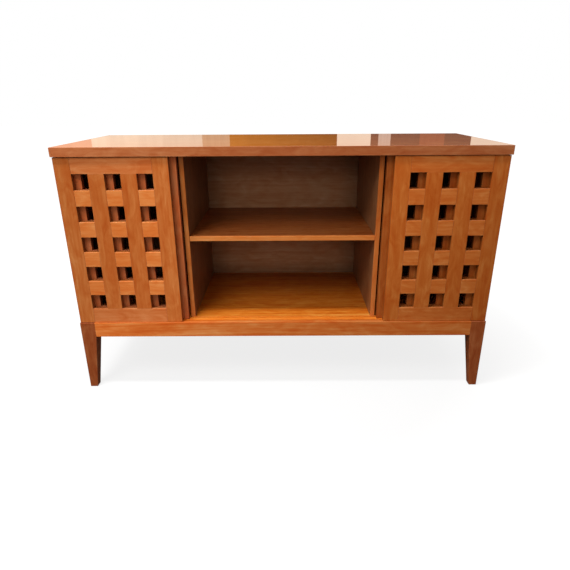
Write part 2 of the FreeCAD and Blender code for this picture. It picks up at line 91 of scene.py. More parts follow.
# Shelf pins, with shares of their width
PIN_NOSE_SHARE = 1 / 6
PIN_SHOULDER_SHARE = 1 / 7
PIN_TIP_SHARE = 1 / 12

# Foot glides, with shares of the pad's thickness and of its radius
GLIDE_SIDES = 40
GLIDE_RIM_SHARE = 0.45
GLIDE_SHOULDER_SHARE = 0.85

# First plank number of each group of boards, which picks their stretch of grain
PLANKS = {"legs": 1, "aprons": 5, "bottom": 9, "track": 10, "uprights": 11, "upright_strips": 15,
          "back": 19, "shelves": 20, "shelf_strips": 23, "top": 26, "lippings": 27, "rails": 40}

# Painted light on single boards: how much their tone rises from left to right and from foot to head, where
# they are lit unevenly
NO_PAINTED_LIGHT = (0.0, 0.0)
APRON_PAINTED_LIGHT = (-0.35, 0.0)
BACK_PAINTED_LIGHT = (-0.4, 0.25)
DOOR_PAINTED_LIGHT = {"front_left_door": (0.22, -0.25), "front_right_door": (-0.17, 0.1),
              "rear_left_door": (0.0, 0.3), "rear_right_door": NO_PAINTED_LIGHT}

# Painted shade in the corners of the open bay: how much darker the wood is made there, and how wide the
# dark is there
CORNER_SHADE = 0.4
SIDE_CORNER = 90 * MM
HEAD_CORNER = 160 * MM
FOOT_CORNER = 60 * MM
FLOOR_CORNER = 120 * MM

# Turns that lay the grain, which runs along X in the grain group, along another axis
ALONG_X = (0.0, 0.0, 0.0)
ALONG_Y = (0.0, 0.0, -QUARTER)
ALONG_Z = (0.0, QUARTER, 0.0)

# Layers of the grain: how fast each changes along and across the board, its detail and its swirl
WANDER = ((1.4, 6.0, 6.0), 2.0)
BAND = ((1.3, 26.0, 26.0), 3.0)
STREAK = ((2.6, 95.0, 95.0), 4.0)
MOTTLE = ((10.0, 26.0, 26.0), 3.0, 1.4)
FIBRE = ((14.0, 560.0, 560.0), 3.0)
PORE = ((42.0, 1500.0, 1500.0), 1.0)
NOISE_ROUGHNESS = 0.55
PLANK_SHIFT = (7.3, 0.61, 0.47)
WANDER_REACH = (0.0, 0.035, 0.035)
RING_TILT = (0.0, 0.03, 0.05)
RING_STRETCH = (3.0, 26.0, 26.0)
RING_PATTERN = {"Scale": 1.0, "Distortion": 3.6, "Detail": 2.0, "Detail Scale": 0.7}

# How much each layer tells in the tone, the gloss and the height of the wood
MIDDLE = 0.5
BAND_SHARE = 0.25
RING_SHARE = 0.03
FIBRE_SHARE = 0.16
MOTTLE_SHARE = 0.5
PORE_RANGE = (0.62, 0.74)
PORE_DEPTH = 1.35
PORE_SHARE = 0.55
FIBRE_GLOSS_SHARE = 0.22
RELIEF_SHARE = 0.5

# Edges count as turned, and faces as lying in a recess, by their normals; the recess tint is painted shade
# on each face that looks neither front nor back
TURNED_RANGE = (0.97, 0.75)
RECESS_RANGE = (0.3, 0.1)
RECESS_SHADE_TINT = (0.36, 0.36, 0.38, 1.0)
RUBBED_SATURATION = 0.85
RUBBED_VALUE = 0.86

# Bump, lacquer, metal and nylon
BUMP_DEPTH = 0.2 * MM
GRAIN_BUMP = 0.25
METAL_BUMP = 0.15
NYLON_BUMP = 0.2
LACQUER_MIST = 0.12
POLISH_MIST = 0.04
SCRATCH = ((2600.0, 900.0, 900.0), 3.0)
PATCH = ((260.0, 260.0, 260.0), 2.0)
PATCH_RANGE = (0.4, 0.7)
PATCH_DEPTH = 1.5
PATCH_DULL_SHARE = 0.25
SPECKLE = ((900.0, 900.0, 900.0), 3.0)
SCUFF = ((160.0, 160.0, 160.0), 3.0)
SCUFF_RANGE = (0.45, 0.7)
SCUFF_LIGHTENS = 1.7
SCUFF_DULL_SHARE = 0.25
NYLON_ROUGHNESS = 0.45

# Floor and surroundings
WHITE = (1.0, 1.0, 1.0, 1.0)
ROOM_TINT = (1.0, 0.97, 0.93, 1.0)
FLOOR_DARK = (0.15, 0.15, 0.15, 1.0)
FLOOR_LIGHT = (0.17, 0.17, 0.17, 1.0)
FLOOR_CLOUD = ((1.5, 1.5, 1.5), 3.0)
FLOOR_ROUGHNESS = 0.9
FLOOR_GLOW = 0.81
FLOOR_LIFT = 0.18
FLOOR_LIFT_RANGE = (0.7, 1.5)
SENSOR_WIDTH = 36.0

# Lamps: name, place, the point that it faces, width and height
LAMPS = (("overhead", (-0.8, -0.75, 3.0), (-0.8, -0.2, 0.6), 1.4, 0.25),
         ("side", (-1.3, -1.7, 2.3), (-0.4, -0.28, 0.6), 1.4, 0.8),
         ("window", (-0.9, -4.2, 1.9), (-0.2, -0.28, 0.6), 2.0, 0.6))

# Glowing wall cards that the polish mirrors, painted reflections of a lit room: how far back the first
# stands, the step to the next, and their looks
CARD_PLACE = 1.2
CARD_STEP = 0.01
CARD_HEIGHT = 1.35
CARD_CLOUD = ((9.0, 3.0, 3.0), 2.0)
CARD_CLOUD_RANGE = (0.3, 0.7)
CARD_SHADE = 0.86

# Each card's name, left and right end, glow colour, light, and the share of it lost at the right end
WALL_CARDS = (("pale_wall", -3.0, 3.0, (1.0, 0.93, 0.84), 1.06, 0.0),
              ("shaded_wall", -3.0, -1.19, (1.0, 0.8, 0.68), 1.0, 0.0),
              ("fading_wall", -1.19, -0.5, (1.0, 0.94, 0.84), 1.14, 0.25),
              ("dim_wall", -0.5, -0.33, (0.8, 0.69, 0.56), 1.0, 0.0),
              ("brown_wall", -0.33, 0.33, (0.6, 0.39, 0.12), 1.25, 0.65),
              ("dark_wall", 0.535, 1.15, (0.38, 0.31, 0.29), 1.0, 0.0),
              ("lit_wall", 0.58, 0.655, (0.84, 0.76, 0.7), 1.0, 0.0),
              ("red_wall", 0.83, 0.98, (0.57, 0.37, 0.31), 1.0, 0.0))


def float_setting(name, description, default, **options):
    """A setting for a number."""
    return bpy.props.FloatProperty(name=name, description=description, default=default, **options)


def length_setting(name, description, millimetres):
    """A setting for a length, given in millimetres."""
    return float_setting(name, description, millimetres * MM, min=0.0, unit="LENGTH")


def count_setting(name, description, count):
    """A setting for how often something repeats."""
    return bpy.props.IntProperty(name=name, description=description, default=count, min=1)


def colour_setting(name, description, red, green, blue):
    """A setting for a colour, given as display values from 0 to 255."""
    return bpy.props.FloatVectorProperty(name=name, description=description, size=3, min=0.0, max=1.0,
                                         default=(red / 255, green / 255, blue / 255),
                                         subtype="COLOR_GAMMA")


def angle_setting(name, description, degrees):
    """A setting for an angle, given in degrees."""
    return float_setting(name, description, math.radians(degrees), subtype="ANGLE")


def power_setting(name, description, watts):
    """A setting for a lamp's power."""
    return float_setting(name, description, watts, min=0.0, unit="POWER")


class SideboardShape(bpy.types.PropertyGroup):
    """Sizes of the eased edges, strips and fastenings that the looks add."""
    bar_ease: length_setting("Bar Ease", "Rounding of the lattice bars' edges", 0.4)
    hole_ease: length_setting("Hole Ease", "Rounding of the sills and heads of the lattice holes", 1.4)
    board_ease: length_setting("Board Ease", "Rounding of the carcass boards' edges", 0.7)
    leg_ease: length_setting("Leg Ease", "Rounding of the legs' edges", 1.6)
    top_ease: length_setting("Top Ease", "Rounding of the lippings' edges round the top", 0.6)
    leg_foot_width: length_setting("Leg Foot", "Width of a leg at the floor", 28.5)
    edge_strip: length_setting("Edge Strip", "Depth of the strip glued along a board's front edge", 7.0)
    groove_clear: length_setting("Groove Clearance", "Room between a running strip and its groove", 0.3)
    groove_depth: length_setting("Groove Depth", "Depth of the grooves in the track and the top", 8.5)
    screw_slot: length_setting("Screw Slot", "Width of the arms of a screw head's cross", 1.1)
    hole_columns: count_setting("Hole Columns", "Lattice holes across a door", 3)
    hole_rows: count_setting("Hole Rows", "Lattice holes up a door", 5)


class SideboardFinish(bpy.types.PropertyGroup):
    """Colours of the woods and of the fastenings."""
    # The front left door's colours are a lighter copy, and the front right door's a darker, more saturated
    # copy, of one wood: painted light falling off from left to right
    upright: colour_setting("Door Uprights", "Front left door's stiles and mullions", 189, 103, 46)
    rail: colour_setting("Door Rails", "Front left door's top and bottom rails", 200, 114, 60)
    cross: colour_setting("Door Crossbars", "Front left door's crossbars", 214, 121, 57)
    right_upright: colour_setting("Right Uprights", "Front right door's stiles and mullions", 186, 97, 36)
    right_rail: colour_setting("Right Rails", "Front right door's top and bottom rails", 192, 102, 42)
    right_cross: colour_setting("Right Crossbars", "Front right door's crossbars", 197, 107, 45)
    # The rear doors are one wood in two copies: the right one darker as painted shade from the front right
    # door, the left one lighter as painted light
    rear_left: colour_setting("Rear Left Door", "Bars of the rear left door", 201, 110, 62)
    rear_right: colour_setting("Rear Right Door", "Bars of the rear right door", 168, 87, 33)
    leg: colour_setting("Legs", "The four legs", 154, 78, 38)
    apron: colour_setting("Aprons", "Rails between the legs", 212, 114, 49)
    top: colour_setting("Top", "The polished top", 178, 101, 52)
    lipping: colour_setting("Lippings", "Solid strips round the top", 173, 99, 56)
    case: colour_setting("Sides", "Faces of the side panels", 188, 101, 37)
    # The dividers' faces are a darker, browner copy of the sides' wood, as painted shade of the open bay
    divider: colour_setting("Dividers", "Faces of the dividers", 135, 87, 53)
    shelf: colour_setting("Shelves", "Faces of the shelves", 157, 85, 38)
    strip: colour_setting("Shelf Strips", "Solid strips on the shelves' front edges", 213, 126, 60)
    track: colour_setting("Track", "The grooved strip along the front", 217, 119, 37)
    bottom: colour_setting("Bottom", "Bottom panel inside the case", 192, 103, 27)
    upright_edge: colour_setting("Upright Edges", "Front edges of the sides and dividers", 200, 112, 50)
    back: colour_setting("Back", "Veneer of the back panel", 189, 136, 95)
    plain: colour_setting("Plain Hardwood", "Hidden strips, ledgers and dowels", 205, 165, 115)
    brass: colour_setting("Brass", "Shelf pins", 212, 170, 92)
    steel: colour_setting("Steel", "Screws", 178, 178, 180)
    nylon: colour_setting("Nylon", "Foot glides", 96, 88, 80)


class SideboardStage(bpy.types.PropertyGroup):
    """Camera, lamps and surroundings."""
    lens: float_setting("Lens", "Focal length for a 36 mm sensor", 30.11, min=1.0, unit="CAMERA")
    camera_place: bpy.props.FloatVectorProperty(name="Camera Place", description="Where the camera stands",
                                                default=(0.0142, -1.897, 1.0533), subtype="TRANSLATION")
    pitch: angle_setting("Pitch", "How far the camera looks down", 21.28)
    yaw: angle_setting("Yaw", "How far the camera looks to the right", -0.17)
    roll: angle_setting("Roll", "How far the camera is tipped", 0.33)
    overhead_power: power_setting("Overhead Power", "The long lamp above the front", 69.0)
    side_power: power_setting("Side Power", "The lamp close by at the upper left", 34.0)
    window_power: power_setting("Window Power", "The lamp far off at the front left", 14.5)
    ambient: float_setting("Ambient", "Brightness of the surroundings", 0.42, min=0.0)
    floor_size: length_setting("Floor Size", "Width of the floor", 40000.0)


# Modelling helpers

def settings(context):
    """The settings of the shapes and of the finishes."""
    return context.scene.sideboard_shape, context.scene.sideboard_finish


def select_only(*pieces):
    """Selects these pieces and nothing else, with the last one active."""
    bpy.ops.object.select_all(action="DESELECT")
    for piece in pieces:
        piece.select_set(True)
        bpy.context.view_layer.objects.active = piece


def apply_place(piece):
    """Puts a piece's place, turn and scale into its mesh."""
    select_only(piece)
    bpy.ops.object.transform_apply(location=True, rotation=True, scale=True)
    return piece


def add_block(low, high):
    """Adds a block between two corners."""
    bpy.ops.object.select_all(action="DESELECT")
    bpy.ops.mesh.primitive_cube_add(size=1, location=(low + high) / 2, scale=high - low)
    return apply_place(bpy.context.object)


def add_rod(radius, foot, head, sides):
    """Adds a round rod along Z between two heights."""
    bpy.ops.object.select_all(action="DESELECT")
    bpy.ops.mesh.primitive_cylinder_add(vertices=sides, radius=radius, depth=head - foot,
                                        location=(0.0, 0.0, (foot + head) / 2))
    return apply_place(bpy.context.object)


def remove_piece(piece):
    """Deletes a helper piece."""
    select_only(piece)
    bpy.ops.object.delete()


def cut_away(board, low, high):
    """Cuts a block between two corners out of a board."""
    cutter = add_block(low, high)
    select_only(board)
    bpy.ops.object.modifier_add(type="BOOLEAN")
    cut = board.modifiers[-1]
    cut.operation = "DIFFERENCE"
    cut.solver = "EXACT"
    cut.object = cutter
    bpy.ops.object.modifier_apply(modifier=cut.name)
    remove_piece(cutter)


def cut_grooves(board, strip, foot, head, clear):
    """Cuts the two grooves that the doors' strips move in, between two heights."""
    for end in ENDS:
        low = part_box(f"{end}_left_door_{strip}")[0]
        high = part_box(f"{end}_right_door_{strip}")[1]
        cut_away(board, Vector((low.x - clear, low.y - clear, foot)),
                 Vector((high.x + clear, high.y + clear, head)))


def edit_faces(piece, way):
    """Opens a piece for editing with only the faces selected that look up or down."""
    select_only(piece)
    bpy.ops.object.mode_set(mode="EDIT")
    bpy.ops.mesh.select_mode(type="FACE")
    bpy.ops.mesh.select_all(action="DESELECT")
    bpy.ops.object.mode_set(mode="OBJECT")
    for face in piece.data.polygons:
        face.select = face.normal.z * way > LEVEL_SHARE
    bpy.ops.object.mode_set(mode="EDIT")


def round_rim(piece, way, radius, steps):
    """Rounds the rim of the faces that look up or down."""
    edit_faces(piece, way)
    bpy.ops.mesh.bevel(offset=radius, segments=steps, affect="EDGES")
    bpy.ops.object.mode_set(mode="OBJECT")


def draw_out(length):
    """Draws the selected faces out along Z."""
    bpy.ops.mesh.extrude_region_move(TRANSFORM_OT_translate={"value": (0.0, 0.0, length)})


def smooth_rounds(piece):
    """Shades a turned piece smooth, with its corners sharp."""
    select_only(piece)
    bpy.ops.object.shade_smooth_by_angle(angle=SMOOTH_ANGLE)
    return piece


def ease_edges(piece, radius, steps=EASE_STEPS, wanted=None):
    """Rounds a piece's sharp edges, or those whose direction and middle wanted(way, middle) accepts."""
    select_only(piece)
    bpy.ops.object.mode_set(mode="EDIT")
    bpy.ops.mesh.select_mode(type="EDGE")
    bpy.ops.mesh.select_all(action="DESELECT")
    bpy.ops.mesh.edges_select_sharp(sharpness=SHARP_EDGE)
    bpy.ops.object.mode_set(mode="OBJECT")
    for edge in piece.data.edges:
        start, end = (piece.data.vertices[corner].co for corner in edge.vertices)
        edge.select = edge.select and (wanted is None or wanted(end - start, (start + end) / 2))
    bpy.ops.object.mode_set(mode="EDIT")
    bpy.ops.mesh.bevel(offset=radius, segments=steps, affect="EDGES")
    bpy.ops.object.mode_set(mode="OBJECT")


def score_lines(piece, axis, places):
    """Scores a line around a piece at each place along an axis, where a taper or a tone can stop."""
    way = Vector(float(step == axis) for step in range(3))
    select_only(piece)
    bpy.ops.object.mode_set(mode="EDIT")
    for place in places:
        bpy.ops.mesh.select_all(action="SELECT")
        bpy.ops.mesh.bisect(plane_co=way * place, plane_no=way)
    bpy.ops.object.mode_set(mode="OBJECT")


def paint_light_fall(piece, low, high, drift):
    """Paints light into a piece's tone, rising or falling across a box and up it."""
    tones = piece.data.attributes.new("drift", "FLOAT", "POINT")
    size = high - low
    for point, tone in zip(piece.data.vertices, tones.data):
        place = point.co - low
        tone.value = drift[0] * (place.x / size.x - MIDDLE) + drift[1] * (place.z / size.z - MIDDLE)
    return piece


def paint_corner_shade(piece, axis, corner, fade, limit=math.inf):
    """Paints shade into a piece towards a corner, from fade before it, on the points in front of a limit.
    """
    score_lines(piece, axis, (corner - fade, corner))
    tones = piece.data.attributes["drift"].data
    for point, tone in zip(piece.data.vertices, tones):
        share = min(max(1.0 - (corner - point.co[axis]) / fade, 0.0), 1.0)
        if point.co.y < limit:
            tone.value = (1.0 + tone.value) * (1.0 - CORNER_SHADE * share) - 1.0


def give_material(piece, material):
    """Gives a piece one material all over."""
    piece.data.materials.clear()
    piece.data.materials.append(material)


def finish_board(board, material, number):
    """Gives a board its material, and a plank number that shifts and tints its grain."""
    mesh = board.data
    planks = mesh.attributes.get("plank") or mesh.attributes.new("plank", "FLOAT", "POINT")
    planks.data.foreach_set("value", [(number * GOLDEN) % 1.0] * len(mesh.vertices))
    give_material(board, material)
    return board


def add_board(low, high, ease, material, number):
    """Adds a board with eased edges, its material and its own grain."""
    board = add_block(low, high)
    ease_edges(board, ease)
    return finish_board(board, material, number)


def add_edged_board(low, high, shape, woods, numbers, rebate=None):
    """Adds a board with a solid strip on its front edge, and cuts a rebate between two corners."""
    seam = low.y + shape.edge_strip
    board = add_block(Vector((low.x, seam, low.z)), high)
    if rebate:
        cut_away(board, *rebate)
    ease_edges(board, shape.board_ease)
    finish_board(board, woods[0], numbers[0])
    strip = add_board(low, Vector((high.x, seam, high.z)), shape.board_ease, woods[1], numbers[1])
    return [strip, board]


def copy_piece(piece, place, turn=None):
    """Copies a piece with its mesh, turned about the origin and then moved."""
    select_only(piece)
    bpy.ops.object.duplicate()
    twin = bpy.context.object
    twin.matrix_world = Matrix.Translation(place) @ (turn or Matrix.Identity(4))
    return apply_place(twin)


def join_pieces(name, pieces):
    """Joins pieces into one object with this name."""
    select_only(*pieces)
    if len(pieces) > 1:
        bpy.ops.object.join()
    joined = bpy.context.object
    joined.name = name
    joined.data.name = name
    return joined


def hand_over(piece, body, slot, *nodes):
    """Ties a finished piece to its body and hides the CAD nodes that it stands for. The slot is not used.
    """
    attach(piece, body)
    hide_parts(*nodes)


def fit_piece(name, pieces, slot, node):
    """Joins pieces under one name and hands them over as a fixed piece of the cabinet."""
    hand_over(join_pieces(name, pieces), "cabinet", slot, node)


def fit_copies(name, pattern, places, material, slot, node):
    """Fits a copy of a fastening at each place and turn, all as one piece of the cabinet."""
    give_material(pattern, material)
    copies = [copy_piece(pattern, place, turn) for place, turn in places]
    remove_piece(pattern)
    fit_piece(name, copies, slot, node)


def dress_node(node, material):
    """Gives a CAD node that stays in view its material."""
    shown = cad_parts[node]
    if not shown.material_slots:
        shown.data.materials.append(material)
    for place in shown.material_slots:
        place.material = material


def solids_of(node):
    """The lowest and highest corner of each separate solid in a CAD node."""
    select_only(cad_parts[node])
    bpy.ops.object.duplicate()
    bpy.ops.object.mode_set(mode="EDIT")
    bpy.ops.mesh.select_all(action="SELECT")
    bpy.ops.mesh.remove_doubles(threshold=MERGE_GAP)
    bpy.ops.mesh.separate(type="LOOSE")
    bpy.ops.object.mode_set(mode="OBJECT")
    corners = []
    for solid in list(bpy.context.selected_objects):
        points = [vertex.co for vertex in solid.data.vertices]
        corners.append([Vector(side(point[axis] for point in points) for axis in range(3))
                        for side in (min, max)])
    bpy.ops.object.delete()
    return sorted(corners, key=lambda pair: tuple(pair[0]))


# Shader helpers

def fill_inputs(tree, node, inputs):
    """Links or sets a node's inputs."""
    for key, value in inputs.items():
        if isinstance(value, bpy.types.NodeSocket):
            tree.links.new(value, node.inputs[key])
        else:
            node.inputs[key].default_value = value


def add_node(tree, kind, inputs, **options):
    """Adds a shader node, sets its options, then links or sets its inputs."""
    node = tree.nodes.new(kind)
    for option, value in options.items():
        setattr(node, option, value)
    fill_inputs(tree, node, inputs)
    return node


def place_on(tree, kind="Object"):
    """Texture coordinates on the piece itself."""
    return tree.nodes.new("ShaderNodeTexCoord").outputs[kind]


def maths(tree, operation, first, second=0.0):
    """The result of a maths node."""
    return add_node(tree, "ShaderNodeMath", {0: first, 1: second}, operation=operation).outputs[0]


def vectors(tree, operation, first, second=(0.0, 0.0, 0.0)):
    """The result of a vector maths node."""
    return add_node(tree, "ShaderNodeVectorMath", {0: first, 1: second}, operation=operation).outputs[0]


def noise(tree, vector, stretch, detail, swirl=0.0, output=0):
    """A noise over a vector that is stretched first."""
    inputs = {"Vector": vectors(tree, "MULTIPLY", vector, stretch), "Scale": 1.0, "Detail": detail,
              "Roughness": NOISE_ROUGHNESS, "Distortion": swirl}
    return add_node(tree, "ShaderNodeTexNoise", inputs).outputs[output]


def ranged(tree, value, low, high):
    """A value spread from 0 at low to 1 at high, and held there."""
    inputs = {"Value": value, "From Min": low, "From Max": high}
    return add_node(tree, "ShaderNodeMapRange", inputs).outputs["Result"]


def swing(tree, layer, share):
    """A share of how far a layer falls below its middle."""
    return maths(tree, "MULTIPLY", maths(tree, "SUBTRACT", MIDDLE, layer), share)


def deepened(tree, colour, power):
    """A colour raised to a power, which deepens it above 1."""
    return add_node(tree, "ShaderNodeGamma", {"Color": colour, "Gamma": power}).outputs[0]


def mixed(tree, factor, first, second, blend="MIX"):
    """Two colours mixed, with the sockets known by number, because their names repeat."""
    inputs = {0: factor, 6: first, 7: second}
    return add_node(tree, "ShaderNodeMix", inputs, data_type="RGBA", blend_type=blend).outputs[2]


def new_group(name, inputs, outputs):
    """A new node group with its named sockets, and what it is given."""
    group = bpy.data.node_groups.new(name, "ShaderNodeTree")
    for way, sockets in (("INPUT", inputs), ("OUTPUT", outputs)):
        for socket, kind in sockets.items():
            group.interface.new_socket(socket, in_out=way, socket_type=f"NodeSocket{kind}")
    return group, group.nodes.new("NodeGroupInput").outputs


def board_grain_group():
    """Long grain along X, with streaks, growth lines, fibres and pores: a colour, a gloss and a height."""
    if "board_grain" in bpy.data.node_groups:
        return bpy.data.node_groups["board_grain"]
    inputs = {"Vector": "Vector", "Plank": "Float", "Drift": "Float", "Wood": "Color", "Contrast": "Float",
              "Streak": "Float", "Variety": "Float", "Gloss": "Float"}
    group, given = new_group("board_grain", inputs,
                             {"Color": "Color", "Roughness": "Float", "Height": "Float"})
    shift = vectors(group, "MULTIPLY", given["Plank"], PLANK_SHIFT)
    place = vectors(group, "ADD", given["Vector"], shift)
    wander = vectors(group, "SUBTRACT", noise(group, place, *WANDER, output="Color"), [MIDDLE] * 3)
    grain = vectors(group, "ADD", place, vectors(group, "MULTIPLY", wander, WANDER_REACH))
    fibre = noise(group, grain, *FIBRE)
    pore = ranged(group, noise(group, grain, *PORE), *PORE_RANGE)
    sawn = add_node(group, "ShaderNodeMapping", {"Vector": grain, "Rotation": RING_TILT}).outputs[0]
    rings = add_node(group, "ShaderNodeTexWave",
                     {"Vector": vectors(group, "MULTIPLY", sawn, RING_STRETCH), **RING_PATTERN},
                     wave_type="RINGS", rings_direction="X").outputs["Fac"]
    layers = ((noise(group, grain, *BAND), BAND_SHARE), (noise(group, grain, *STREAK), given["Streak"]),
              (rings, RING_SHARE), (fibre, FIBRE_SHARE), (noise(group, grain, *MOTTLE), MOTTLE_SHARE))
    tone = 0.0
    for layer, share in layers:
        tone = maths(group, "ADD", swing(group, layer, share), tone)
    depth = maths(group, "MULTIPLY", tone, given["Contrast"])
    chance = add_node(group, "ShaderNodeTexWhiteNoise", {"W": given["Plank"]}, noise_dimensions="1D")
    tint = swing(group, chance.outputs["Value"], given["Variety"])
    figured = deepened(group, given["Wood"], maths(group, "ADD", maths(group, "ADD", depth, tint), 1.0))
    # The piece's painted light and painted corner shade scale the figured tone here
    figured = vectors(group, "MULTIPLY", figured, maths(group, "ADD", given["Drift"], 1.0))
    colour = mixed(group, maths(group, "MULTIPLY", pore, PORE_SHARE), figured,
                   deepened(group, figured, PORE_DEPTH))
    gloss = maths(group, "SUBTRACT", given["Gloss"], swing(group, fibre, FIBRE_GLOSS_SHARE))
    height = maths(group, "MULTIPLY", maths(group, "SUBTRACT", fibre, pore), RELIEF_SHARE)
    add_node(group, "NodeGroupOutput", {"Color": colour, "Roughness": gloss, "Height": height})
    return group


def wear_and_painted_shade_group():
    """Makes a colour greyer and glossier on eased edges as wear, and darker on faces that look neither
    front nor back, as painted shade.
    """
    if "rubbed_edge" in bpy.data.node_groups:
        return bpy.data.node_groups["rubbed_edge"]
    group, given = new_group("rubbed_edge", {"Color": "Color", "Wear": "Float", "Stain": "Float"},
                             {"Color": "Color", "Polish": "Float"})
    normal = vectors(group, "ABSOLUTE", place_on(group, "Normal"))
    facing = add_node(group, "ShaderNodeSeparateXYZ", {"Vector": normal}).outputs
    widest = maths(group, "MAXIMUM", maths(group, "MAXIMUM", facing["X"], facing["Y"]), facing["Z"])
    worn = maths(group, "MULTIPLY", ranged(group, widest, *TURNED_RANGE), given["Wear"])
    # Painted shade: faces that look neither front nor back are darkened
    recess = maths(group, "MULTIPLY", ranged(group, facing["Y"], *RECESS_RANGE), given["Stain"])
    shade_painted = mixed(group, recess, given["Color"], RECESS_SHADE_TINT, "MULTIPLY")
    rubbed = add_node(group, "ShaderNodeHueSaturation", {"Color": given["Color"], "Value": RUBBED_VALUE,
                                                         "Saturation": RUBBED_SATURATION}).outputs[0]
    add_node(group, "NodeGroupOutput", {"Color": mixed(group, worn, shade_painted, rubbed), "Polish": worn})
    return group


def handled_metal_group():
    """Fine scratches and dull patches for small metal parts."""
    if "handled_metal" in bpy.data.node_groups:
        return bpy.data.node_groups["handled_metal"]
    group, given = new_group("handled_metal", {"Vector": "Vector", "Metal": "Color", "Gloss": "Float"},
                             {"Color": "Color", "Roughness": "Float", "Height": "Float"})
    scratch = noise(group, given["Vector"], *SCRATCH)
    patch = noise(group, given["Vector"], *PATCH)
    dull = deepened(group, given["Metal"], PATCH_DEPTH)
    colour = mixed(group, ranged(group, patch, *PATCH_RANGE), given["Metal"], dull)
    gloss = maths(group, "ADD", given["Gloss"], maths(group, "MULTIPLY", patch, PATCH_DULL_SHARE))
    add_node(group, "NodeGroupOutput", {"Color": colour, "Roughness": gloss, "Height": scratch})
    return group


# Materials

def scene_colour(setting):
    """A colour setting as the linear colour that shaders take."""
    return (*Color(setting).from_srgb_to_scene_linear(), 1.0)


def new_material(name):
    """A new material with its tree and its Principled shader."""
    material = bpy.data.materials.new(name)
    material.use_nodes = True
    tree = material.node_tree
    return material, tree, tree.nodes["Principled BSDF"]


def add_bump(tree, shader, height, strength):
    """Feeds a height to a shader's normal."""
    inputs = {"Strength": strength, "Distance": BUMP_DEPTH, "Height": height}
    bump = add_node(tree, "ShaderNodeBump", inputs)
    tree.links.new(bump.outputs["Normal"], shader.inputs["Normal"])


def show_surface(tree, kind, seen):
    """Shows a shader as the surface of a material or a world."""
    tree.links.new(seen.outputs[0], tree.nodes[f"{kind} Output"].inputs["Surface"])


def lacquered_wood(name, setting, grain, contrast=1.3, variety=0.06, gloss=0.36, coat=0.0,
                   mist=LACQUER_MIST, sheen=0.12, wear=0.35, painted_shade=0.0, streak=0.18):
    """Wood under lacquer, with its grain along an axis, and polished edges where it has no clear coat."""
    if name in bpy.data.materials:
        return bpy.data.materials[name]
    material, tree, shader = new_material(name)
    turned = add_node(tree, "ShaderNodeMapping", {"Vector": place_on(tree), "Rotation": grain}).outputs[0]
    # The plank mark tints the grain; the second mark carries painted light and painted corner shade
    marks = {socket: add_node(tree, "ShaderNodeAttribute", {}, attribute_name=socket.lower()).outputs["Fac"]
             for socket in ("Plank", "Drift")}
    inputs = {"Vector": turned, "Wood": scene_colour(setting), "Contrast": contrast, "Streak": streak,
              "Variety": variety, "Gloss": gloss, **marks}
    board = add_node(tree, "ShaderNodeGroup", inputs, node_tree=board_grain_group())
    # Edge wear and polish, and painted shade on faces that look neither front nor back
    inputs = {"Color": board.outputs["Color"], "Wear": wear, "Stain": painted_shade}
    edge = add_node(tree, "ShaderNodeGroup", inputs, node_tree=wear_and_painted_shade_group())
    fill_inputs(tree, shader, {"Base Color": edge.outputs["Color"], "Roughness": board.outputs["Roughness"],
                               "Specular IOR Level": sheen, "Coat Roughness": mist,
                               "Coat Weight": coat or edge.outputs["Polish"]})
    add_bump(tree, shader, board.outputs["Height"], GRAIN_BUMP)
    return material


def polished_top_wood(finish):
    """The top's wood under a thick polished lacquer, which mirrors the room at a low angle."""
    return lacquered_wood("polished_top_wood", finish.top, ALONG_X, contrast=1.4, coat=1.0,
                          mist=POLISH_MIST, sheen=0.0)


def plain_wood(run, finish, grain):
    """Dull hardwood for what is hardly seen: long or short strips, or dowels."""
    return lacquered_wood(f"plain_{run}_wood", finish.plain, grain, gloss=0.6)


def small_metal(name, setting, gloss):
    """Metal for pins and screws."""
    material, tree, shader = new_material(name)
    metal = add_node(tree, "ShaderNodeGroup",
                     {"Vector": place_on(tree), "Metal": scene_colour(setting), "Gloss": gloss},
                     node_tree=handled_metal_group()).outputs
    fill_inputs(tree, shader, {"Base Color": metal["Color"], "Roughness": metal["Roughness"],
                               "Metallic": 1.0})
    add_bump(tree, shader, metal["Height"], METAL_BUMP)
    return material


def moulded_nylon(finish):
    """Slightly grained nylon, scuffed underneath."""
    material, tree, shader = new_material("moulded_nylon")
    place = place_on(tree)
    scuff = ranged(tree, noise(tree, place, *SCUFF), *SCUFF_RANGE)
    base = scene_colour(finish.nylon)
    pale = tuple(min(1.0, part * SCUFF_LIGHTENS) for part in base)
    rough = maths(tree, "ADD", maths(tree, "MULTIPLY", scuff, SCUFF_DULL_SHARE), NYLON_ROUGHNESS)
    fill_inputs(tree, shader, {"Base Color": mixed(tree, scuff, base, pale), "Roughness": rough})
    add_bump(tree, shader, noise(tree, place, *SPECKLE), NYLON_BUMP)
    return material


